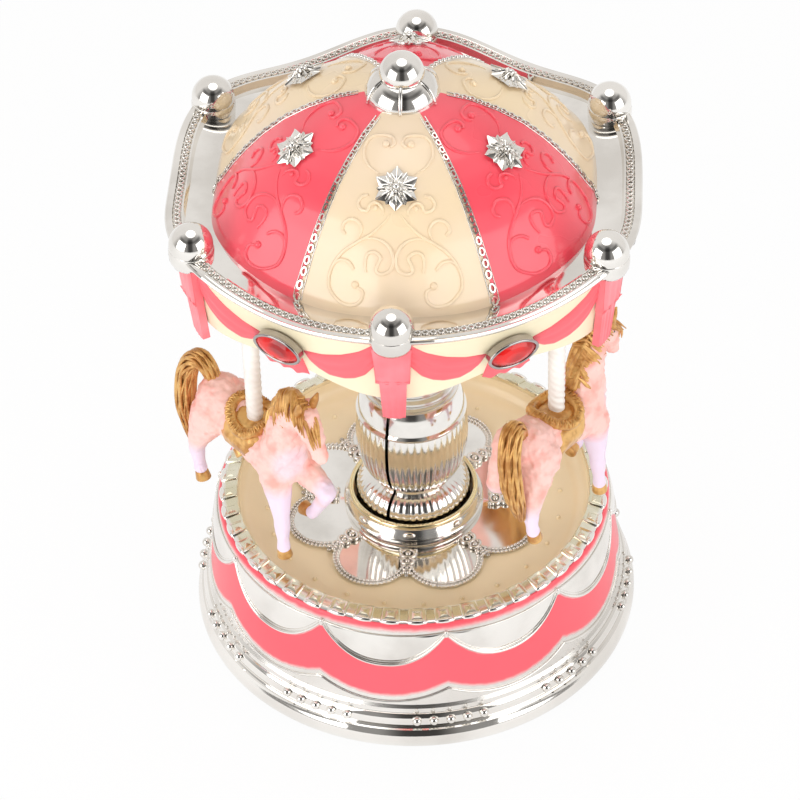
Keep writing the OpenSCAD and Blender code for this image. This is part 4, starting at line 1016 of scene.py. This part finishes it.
def buildTassels():
    # folded head, a tapering pendant below it, and a row of stitches between
    def hung(name, lay):
        cloth = applied(shape(name, "cube", size=2), "SUBSURF", levels=4, subdivision_type="SIMPLE")
        applied(reshape(cloth, lay, 1), "BEVEL", width=tassel["round"] * mm, segments=2, limit_method="ANGLE",
                angle_limit=radians(tassel["bend"]))
        return smooth(cloth, tassel["bend"])

    def level(part, lift):
        z = part["foot"] + lift * part["tall"]
        return z, part["r"] + (z - tassel["levelZ"]) * part["slope"]

    def folded(v):
        part, lift = tassel["head"], max((v.z + 1) / 2, 0)
        z, out = level(part, lift)
        out += tassel["crown"] * (1 - abs(v.y) ** 4)
        out += 1 if v.x > 0 else -1.2
        ripple = part["ripple"] * cos(v.y * 9.5) if v.x > 0.9 else 0
        return Vector((out + ripple, v.y * (part["half"] + part["gain"] * lift ** 1.5), z))

    def tapered(v):
        part, lift = tassel["tail"], min(max((v.z + 1) / 2, 0), 1)
        z, out = level(part, lift)
        out += 0.95 if v.x > 0 else -0.95
        ripple = part["ripple"] * cos(v.y * 12) * (1 - 0.5 * lift) if v.x > 0.9 else 0
        drop = tassel["drop"] * (1 - v.y ** 2) * (1 - lift) ** 6
        return Vector((out + ripple, v.y * (part["half"] + part["gain"] * lift), z - drop))
    stitch = shape("stitch", "uv_sphere", segments=6, ring_count=4, radius=tassel["stitchR"] * mm,
                   location=Vector(tassel["stitchAt"]) * mm)
    middle = (tassel["stitches"] - 1) / 2
    row = [at(0, (k - middle) * tassel["stitchStep"], 0) for k in range(tassel["stitches"])]
    stitches = copies("stitches", stitch, row)
    one = joined("tassel", [hung("tasselHead", folded), hung("tasselTail", tapered), stitches])
    tassels = copies("tassels", one, roundAxis(6, facing["ball"]))
    sparkle = paintFinish("tasselPaint", look["valancePink"], look["tasselPink"], 0.42, 0.2, 1500)
    dress(tassels, "carousel", sparkle, "soft_pink", "tassels")


# stone levels as half width, half height and height above the setting
jewel = {"stone": [(6.15, 3.8, 0.5), (6.15, 3.8, 1.5), (4.7, 2.8, 2.35), (2.9, 1.65, 2.75)],
    "plate": [(6.6, 4.3, -0.3), (6.6, 4.3, 1.2)], "wire": (6.45, 4.15, 1.6), "wireR": 0.45,
    "r": 55.6, "z": 133.4, "lean": 8}


def onSkirt(half, tall, out, turn):
    # a pointed oval, two arcs that meet at rounded points, leaning with the skirt
    lean = radians(jewel["lean"])
    across, full = half * cos(turn), sin(turn)
    up = tall * full * (0.82 + 0.18 * abs(full))
    return Vector((jewel["r"] + out * cos(lean) + up * sin(lean), across,
                   jewel["z"] + up * cos(lean) - out * sin(lean)))


def leveled(piece, levels):
    return reshape(piece, lambda v: onSkirt(*levels[min(round(v.z), len(levels) - 1)], atan2(v.y, v.x)), 1)


def buildGems():
    places = roundAxis(6, facing["ball"] + 30)
    gem = leveled(stacked("gem", 12, 3, 15), jewel["stone"])
    pick(gem)
    openMesh()
    bpy.ops.mesh.quads_convert_to_tris()
    closeMesh()
    ruby = mottled("ruby", (look["ruby"], look["rubyDeep"]), 0.06, cloud=(140, 1), edge=(0.35, 0.65),
                   Coat_Weight=0.35, Coat_Roughness=0.02, Specular_IOR_Level=0.45)
    dress(copies("gemStones", gem, places), "carousel", ruby, "ruby", "gems")

    loop = [onSkirt(*jewel["wire"], 2 * pi * k / 48) for k in range(48)]
    rim = wire("bezelRim", loop, jewel["wireR"], 3, cyclic=True)
    plate = leveled(stacked("bezelPlate", 48, 1), jewel["plate"])
    pick(plate)
    openMesh()
    closeMesh()
    bezel = joined("bezel", [rim, smooth(plate, 40)])
    chrome = mottled("bezelChrome", (look["bezel"], look["bezelShade"]), 0.06, Metallic=1)
    dress(copies("gemBezels", bezel, places), "carousel", chrome, "plated", "gem_bezels")


buildValance()
buildTassels()
buildGems()
print("valance done")


# ---- Twisted poles ----

ride = {"poleR": 2.2, "ring": 44.5, "saddle": [85.5, 90.5, 88], "turn": [16, -4, 3], "ceiling": 128.4,
    "below": 4.9, "row": 0.32, "lead": 6.3, "starts": 3, "groove": 0.17}


def buildPoles():
    clean = mottled("poleWhite", (look["poleWhite"], look["poleShade"]), 0.34, 0.15, (160, 3), (0.3, 0.7),
                    (700, 2, 0.1, 0.1), Coat_Weight=0.15)
    high, wide = ride["ceiling"], ride["poleR"]

    def twisted(p):
        r = hypot(p.x, p.y)
        if r < 1:
            return p
        phase = ride["starts"] * (atan2(p.y, p.x) + 2 * pi * p.z / ride["lead"]) / 2
        k = 1 - ride["groove"] * (1 - abs(sin(phase)) ** 0.7)
        return Vector((p.x * k, p.y * k, p.z))
    for i in range(3):
        low = ride["saddle"][i] - ride["below"]
        rows = int((high - low) / ride["row"])
        side = [(wide, low + (high - low) * k / rows) for k in range(rows + 1)]
        pole = reshape(lathe(f"pole{i + 1}", [(0.01, low)] + side + [(0.01, high)], 30, 70), twisted)
        pole.data.transform(turned(facing["pole"] + 120 * i) @ at(ride["ring"], 0, 0))
        dress(pole, "carousel", clean, "pole_white", f"pole_{i + 1}")


buildPoles()
print("poles done")


# ---- Horses: body, gold mane, tail, saddle and hooves, each laid out once ----
# Points are forward, left and up from the saddle, with a radius.

horse = {
    "trunk": [(-13.4, 0, -2.4, 6.9), (-8, 0, -4.6, 6.7), (-2.5, 0, -6.1, 6.3), (4, 0, -7.4, 6.8),
        (9.8, -0.3, -8.2, 7.2), (11.2, 0, -2.4, 6.4), (12.4, 0, 4.2, 5.3), (14.6, 0, 9.8, 4.5),
        (17.4, 0, 13.2, 3.9)],
    "head": [(17.4, 0, 13.2, 3.9), (19.8, 0, 12.6, 3.7), (21.8, 0.1, 9.6, 3.2), (23.4, 0.1, 6.2, 2.6),
        (24.7, 0.2, 3.4, 2.2), (25.2, 0.2, 2.4, 1.9)],
    "haunch": [(-12.9, -3.6, -5.4, 6.1), (-12.9, 3.6, -5.4, 6.1)],
    "foreLeg": [(11.2, -3.4, -10.6, 4.7), (12.4, -3.8, -18.5, 3.2), (13.1, -4, -25, 2.2), (13.2, -4.1, -27, 2.3),
        (13.5, -4.3, -32, 1.65), (13.7, -4.4, -34.8, 1.9)],
    "foreBent": [(11.8, 3.4, -10.4, 4.7), (17.6, 3.8, -12.8, 3.4), (22.2, 4, -14.8, 2.6), (20.2, 4.1, -18.8, 2.1),
        (17, 4.3, -24.6, 1.7), (15.6, 4.3, -26.6, 1.9)],
    "hindLeg": [(-13.4, -3.8, -6, 5.6), (-15.8, -4.6, -11.5, 4.2), (-17.6, -5.2, -16, 3),
        (-18.6, -5.4, -19.6, 2.3), (-18.1, -5.4, -24.6, 1.7), (-17.6, -5.4, -26.8, 1.9)],
    "hindBent": [(-13.4, 3.8, -6, 5.4), (-17.2, 4.1, -10.2, 4), (-19.8, 4.2, -13.4, 2.8),
        (-17, 3.9, -16.6, 2.2), (-14, 3.5, -19.4, 1.8), (-12.6, 3.4, -20.8, 1.9)],
    "earRoots": [[(19.4, -2.2, 14.6, 1.3), (20.2, -2.6, 16.6, 1)], [(19, 2, 14.8, 1.3), (19.5, 2.4, 16.6, 1)]],
    "ear": [(20, 2.5, 15.6, 1.35), (20.9, 2.8, 17.8, 1.05), (21.6, 3.1, 20, 0.4)],
    "hooves": [((13.8, -4.4, -36.2), (0.12, 0, -1), 2.15), ((13.4, 4.3, -27), (-1, 0, -0.12), 2.1),
        ((-17.1, -5.4, -28.8), (0.3, 0, -1), 2.15), ((-11.4, 3.3, -22), (0.8, 0, -0.7), 2.05)],
    "crest": [(7.2, 0, 2.4, 2.2), (8.6, 0.2, 7, 2.6), (11, 0.4, 11.8, 2.7), (14, 0.4, 15.6, 2.5),
        (17.4, 0.2, 16.6, 2), (20.6, 0, 14.2, 1.4)],
    "tail": [(-15.8, 0, 2.4, 2), (-17.6, -0.4, 6, 2.3), (-20.4, -1.2, 7.6, 2.5), (-23.2, -2.2, 4.2, 2.5),
        (-24.2, -2.9, -2, 2.5), (-24, -3.7, -9, 2.5), (-22.4, -4.2, -15, 2.1), (-21.2, -4.4, -20.2, 1.1)],
    "eyeAt": (20.9, 2.95, 12.4), "eyeR": 0.62, "eyeScale": (1, 0.6, 0.8),
    "seatZ": -6.2, "seatR": 6.7, "bandR": 7.15, "bandWire": 1.45, "carving": 0.32,
}


def filled(chain, gap=0.35):
    # spheres close enough along a chain to read as one limb
    out = []
    for a, b in zip(chain, chain[1:]):
        count = max(int(dist(a[:3], b[:3]) / (gap * min(a[3], b[3]))), 1)
        out += [lineAt((a, b), k / count) for k in range(count)]
    return out + [chain[-1]]


def blob(name, spheres, cell, rounds=3):
    # spheres melted into one skin
    seed = shape("seed", "ico_sphere", subdivisions=2, radius=1)
    skin = copies(name, seed, [at(x, y, z) @ Matrix.Scale(r * mm, 4) for x, y, z, r in spheres])
    applied(skin, "REMESH", mode="VOXEL", voxel_size=cell * mm)
    applied(skin, "SMOOTH", factor=0.6, iterations=rounds)
    return smooth(skin, 180)


def shared(value, start, run):
    # 0 below start, 1 from start + run on
    return min(max((value - start) / run, 0), 1)


def rough(skin, size, depth, footZ=None):
    # uneven moulded surface, smooth below footZ
    skin.data.update()
    normals = [v.normal.copy() for v in skin.data.vertices]
    for vertex, normal in zip(skin.data.vertices, normals):
        n = noise.noise(vertex.co / (size * mm)) + 0.5 * noise.noise(vertex.co / (size * 0.45 * mm))
        share = 1 if footZ is None else max(shared(vertex.co.z / mm, footZ, 5), 0.15)
        vertex.co += normal * n * depth * share * mm
    skin.data.update()
    return skin


def strand(name, chain, phase, wind, off, thick, rows, fan=0):
    # one lock of hair winding along a chain
    spine = [curveAt(chain, k / rows * (len(chain) - 1)) for k in range(rows + 1)]
    points, radii = [], []
    for k, s in enumerate(spine):
        run = (Vector(spine[min(k + 1, rows)][:3]) - Vector(spine[max(k - 1, 0)][:3])).normalized()
        side = run.cross(Vector((0, 1, 0.1))).normalized()
        up = run.cross(side).normalized()
        t = k / rows
        angle = phase + wind * t
        reach = s[3] * off
        wide = 1 + fan * sin(pi * min(t * 1.15, 1)) * t
        points.append(Vector(s[:3]) + side * cos(angle) * reach + up * sin(angle) * reach * wide)
        radii.append(max(0.25, (1 - t ** 6) * (0.8 + 0.2 * sin(9 * t + phase))))
    return wire(name, points, thick, 2, radii=radii)


def goldPaint():
    made = Finish("goldPaint", Coat_Weight=0.3, Coat_Roughness=0.2)
    cloud, wide = made.noise(500, 4), made.noise(120, 2)
    made.feed("Base Color", (cloud + wide).step(0.75, 1.25).mixed(look["gold"], look["goldLight"]))
    made.feed("Metallic", wide.step(0.3, 0.7) * 0.35 + 0.4)
    made.feed("Roughness", cloud * 0.2 + 0.26)
    made.bump(made.noise(900, 3), 0.35, 0.2)
    return made.material


def hidePaint():
    # pink body that pales to lilac down the legs, by the colour kept on each vertex
    made = Finish("hidePaint", Coat_Weight=0.05, Subsurface_Weight=0.12, Subsurface_Radius=(0.002, 0.001, 0.0008))
    shade = made.place.add("ShaderNodeAttribute", out="Color", attribute_name="coat")
    cloud = made.noise(210, 4)
    warm = cloud.step(0.45, 0.72).mixed(look["horsePink"], look["horseCrease"])
    made.feed("Base Color", shade.mixed(warm, look["legLilac"]))
    made.feed("Roughness", cloud * 0.2 + 0.45)
    made.bump(made.noise(420, 4), 0.35, 0.35)
    return made.material


def buildHide():
    limbs = [horse[part] for part in ("trunk", "head", "foreLeg", "foreBent", "hindLeg", "hindBent")]
    spheres = [s for limb in limbs for s in filled(limb)] + horse["haunch"]
    spheres += [s for root in horse["earRoots"] for s in filled(root)]
    hide = rough(blob("hide", spheres, 0.42, 5), 1.7, 0.42, -17)
    coat = hide.data.color_attributes.new("coat", "FLOAT_COLOR", "POINT")
    for k, vertex in enumerate(hide.data.vertices):
        p = vertex.co / mm
        leg = shared(-p.z, 11.5 if p.x > 5 and p.y < 0 else 15.5, 5)
        if p.x > 14 and p.z < 0:
            leg = max(leg, shared(p.x, 19.5, 3))
        if p.x < -10 and p.y > 0 and p.z < -12:
            leg = max(leg, shared(-p.z, 12.5, 4))
        chest = (p - Vector((17.5, -2.5, -4.5))).length
        value = max(leg, 0.55 * shared(-chest, -7, 3))
        coat.data[k].color = (value, value, value, 1)
    return hide


def buildLocks():
    # hair of the tail, the crest and the forelock
    locks = [strand("tailLock", horse["tail"], 2 * pi * k / 18, 3.4 if k % 2 else -1.4, 0.84, 0.62, 26, 0.6)
             for k in range(18)]
    locks += [strand("crestLock", horse["crest"], 2 * pi * k / 6 + 0.4, 2.6, 0.8, 0.55, 18) for k in range(6)]
    for k in range(5):
        chain = [(19, -1.6 + 0.5 * k, 16.4, 1), (22.8, -2.4 + 0.75 * k, 13.6, 1),
                 (24.7, -2.5 + 0.6 * k, 10.2, 1), (25.7, -2.1 + 0.4 * k, 6.6, 1)]
        locks.append(strand("forelock", chain, k, 2.2, 0.3, 0.5, 12))

    # locks of mane that cross the crest and hang down on the right
    for k in range(15):
        x, y, z, r = lineAt(horse["crest"], (0.04 + 0.92 * k / 14) * (len(horse["crest"]) - 1))
        wave = sin(k * 2.4)
        for j in range(3):
            root = Vector((x - 1.1 + 0.7 * j, y + 1.3, z + r * 0.7))
            over = root + Vector((0.6 - 0.3 * j, -2.2, 1.05 - 0.15 * j))
            down = (x + 0.6 + 0.6 * j + wave * 0.5, y - 3 - 0.2 * j, z + 0.2)
            tip = (x + 2 + 0.8 * j + wave, y - 4.2 - 0.2 * j, z - 1.9 - 0.8 * wave - 0.3 * j)
            chain = [(*point, 1) for point in (root, over, down, tip)]
            locks.append(strand("maneLock", chain, k + j, 1.6, 0.25, 0.62, 10))
    return locks


def buildSaddle():
    # a carved band round a hollow seat
    level, band = horse["seatZ"], []
    for k in range(48):
        a = 2 * pi * k / 48
        f = -0.9 - 5.9 * cos(a) + 0.8 * abs(sin(a)) ** 3
        side = radians(52 * sin(a))
        band.append(Vector((f, horse["bandR"] * sin(side), level + horse["bandR"] * cos(side) - 0.1 * f)))
    ring = rough(wire("saddleBand", band, horse["bandWire"], 4, cyclic=True), 1.1, 0.35)
    twist = []
    for k in range(240):
        a, b = band[k // 5], band[(k // 5 + 1) % 48]
        p = a + (b - a) * (k % 5 / 5)
        out = Vector((0.25 * (p.x + 0.9), p.y, p.z - level)).normalized()
        across = (b - a).cross(out).normalized()
        twist.append(p + out * (1.25 + 0.3 * cos(k * 1.9)) + across * 0.95 * sin(k * 0.95))
    carving = wire("saddleCarving", twist, horse["carving"], 2, cyclic=True)
    seat = blob("saddleSeat", [(f, side, level - 0.1 * f, horse["seatR"])
                               for f in (-4, -2.5, -1, 0.5, 2) for side in (-0.25, 0.25)], 0.42)
    return [ring, carving, seat]


def buildTrim():
    gold = []
    for place, way, r in horse["hooves"]:
        hoof = shape("hoof", "cone", vertices=20, radius1=r * mm, radius2=r * 0.78 * mm, depth=3 * mm)
        applied(hoof, "BEVEL", width=0.5 * mm, segments=3, limit_method="ANGLE")
        hoof.data.transform(at(*place) @ Vector(way).to_track_quat("-Z", "Y").to_matrix().to_4x4())
        gold.append(smooth(hoof, 50))
    for side in (-1, 1):
        gold.append(blob("ear", filled([(x, side * y, z, r) for x, y, z, r in horse["ear"]]), 0.3, 1))
    gold.append(blob("maneCore", filled([(x, y, z, r * 0.86) for x, y, z, r in horse["crest"]]), 0.4))
    core = filled([(x, y, z, r * 0.82) for x, y, z, r in horse["tail"]])
    core += filled([(x, y + 1.5, z, r * 0.7) for x, y, z, r in horse["tail"][4:]])
    gold.append(blob("tailCore", core, 0.4))
    return joined("goldTrim", gold + buildLocks() + buildSaddle())


def buildHorses():
    x, y, z = horse["eyeAt"]
    eyes = joined("eyes", [ball("eye", horse["eyeR"], (x, side * y, z), horse["eyeScale"]) for side in (-1, 1)])
    eyePaint = paintFinish("eyePaint", look["eye"], look["eyeShade"], 0.25, 0.5)
    parts = {"horseHide": (buildHide(), hidePaint()), "horseGold": (buildTrim(), goldPaint()),
             "horseEyes": (eyes, eyePaint)}
    for i in range(3):
        place = turned(facing["pole"] + 120 * i) @ at(ride["ring"], 0, ride["saddle"][i]) @ turned(90 + ride["turn"][i])
        for name, (part, finish) in parts.items():
            twin = placed(part, place)
            twin.name = f"{name}{i + 1}"
            nodes = [f"horse_{i + 1}"] if name == "horseHide" else []
            dress(twin, "carousel", finish, "horse_pink", *nodes)
    for part, finish in parts.values():
        bpy.data.objects.remove(part, do_unlink=True)


buildHorses()
print("horses done")


# ---- Finishes of the pieces that stay as they are packed ----

packed = {
    "brass": ["bedplate", "spindle_bridge", "cylinder_brackets", "governor_frame", "spring_barrel",
        "music_cylinder", "cylinder_wheel", "governor_arbor"],
    "steel": ["cover_screws", "bedplate_screws", "comb_screws", "music_comb", "clutch_spring", "winding_arbor",
        "mainspring", "drive_spindle", "cylinder_arbor", "fan_spindle", "ceiling_screws", "winding_key"],
    "grey": ["bottom_cover"], "cream": ["canopy_ceiling", "canopy_posts"]}


def plainMetal(name, tones, roughness):
    return mottled(name, tones, roughness, 0.15, (90, 4), (0.3, 0.7), (600, 2, 0.08, 0.1), Metallic=1)


def dressNodes():
    finishes = {"brass": plainMetal("movementBrass", (look["brass"], look["brassShade"]), 0.24),
                "steel": plainMetal("movementSteel", (look["steel"], look["steelShade"]), 0.2),
                "grey": paintFinish("coverGrey", look["coverGrey"], look["coverShade"], 0.5, 0.05),
                "cream": creamPaint}
    for key, names in packed.items():
        for name in names:
            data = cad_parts[name].data
            data.materials.clear()
            data.materials.append(finishes[key])


dressNodes()
print("nodes dressed")


# ---- Camera, light and floor ----

# metres and radians; lamps as place, size, power and shape
studio = {"cameraAt": (0, -0.6861, 0.7064), "cameraTurn": (0.8239538, 0.0227732, -0.0168311), "lens": 160,
    "sensor": 36, "clip": (0.01, 10), "pixels": 800, "floor": 6, "aim": (0, 0, 0.09),
    "lamps": {"left": ((-0.82, -0.62, 0.46), 0.85, 5, "RECTANGLE"),
        "right": ((0.86, -0.6, 0.44), 0.85, 4.2, "RECTANGLE"),
        "front": ((0, -1.05, 0.42), 0.6, 4, "SQUARE"),
        "above": ((0, 0.05, 1.15), 0.8, 1.9, "DISK")}}


def buildCamera():
    clearSelection()
    bpy.ops.object.camera_add(location=studio["cameraAt"], rotation=studio["cameraTurn"])
    camera = bpy.context.object
    camera.data.lens = studio["lens"]
    camera.data.sensor_width = studio["sensor"]
    camera.data.clip_start, camera.data.clip_end = studio["clip"]
    scene = bpy.context.scene
    scene.camera = camera
    scene.render.resolution_x = scene.render.resolution_y = studio["pixels"]
    scene.view_settings.view_transform = "Standard"


def buildWorld():
    # pale walls behind, greyer in front, with a dark gap where the camera stands
    scene = bpy.context.scene
    world = scene.world or bpy.data.worlds.new("studio")
    scene.world = world
    world.use_nodes = True
    tree = world.node_tree
    tree.nodes.clear()
    x, y, z = Wire(tree).add("ShaderNodeTexCoord", out="Generated").axes()
    seen = x.add("ShaderNodeLightPath", out="Is Camera Ray")
    wall = y.step(-0.35, 0.25) * 0.62 + 0.34
    gap = (1 - abs(x).step(0.1, 0.34)) * (1 - y.step(-0.55, -0.3))
    seamUp = 1 - abs(z - 0.72).step(0.03, 0.11)
    front = 1 - y.step(-0.15, 0.2)
    glow = wall * (1 - gap * 0.8) * (1 - seamUp * front * 0.5)
    colour = seen.mixed(tint(240, 238, 236), (1, 1, 1, 1))
    back = seen.add("ShaderNodeBackground", {"Color": colour, "Strength": seen + (1 - seen) * glow})
    back.add("ShaderNodeOutputWorld", {"Surface": back})


def buildLamps():
    for name, (place, size, power, kind) in studio["lamps"].items():
        clearSelection()
        bpy.ops.object.light_add(type="AREA", location=place)
        lamp = bpy.context.object
        lamp.name = name
        lamp.data.shape = kind
        lamp.data.size = size
        if kind == "RECTANGLE":
            lamp.data.size_y = size * 0.9
        lamp.data.energy = power
        lamp.visible_glossy = name != "front"
        aim = Vector(studio["aim"]) - Vector(place)
        lamp.rotation_euler = aim.to_track_quat("-Z", "Y").to_euler()


def buildFloorPlane():
    # paper that looks as pale as the background to the camera and in reflections
    floor = shape("floor", "plane", size=studio["floor"])
    paper = Finish("paper", Base_Color=tint(250, 250, 250), Roughness=0.9)
    seen = paper.place.add("ShaderNodeLightPath", out="Is Camera Ray")
    mirrored = paper.place.add("ShaderNodeLightPath", out="Is Glossy Ray")
    plain, shine = Wire(paper.tree, paper.shader.outputs[0]), seen.add("ShaderNodeEmission")
    mix = seen.add("ShaderNodeMixShader", {0: (seen + mirrored * 0.8) * 0.93, 1: plain, 2: shine})
    paper.tree.links.new(mix.socket, paper.tree.nodes["Material Output"].inputs["Surface"])
    floor.data.materials.append(paper.material)


buildCamera()
buildWorld()
buildLamps()
buildFloorPlane()
print("studio done")
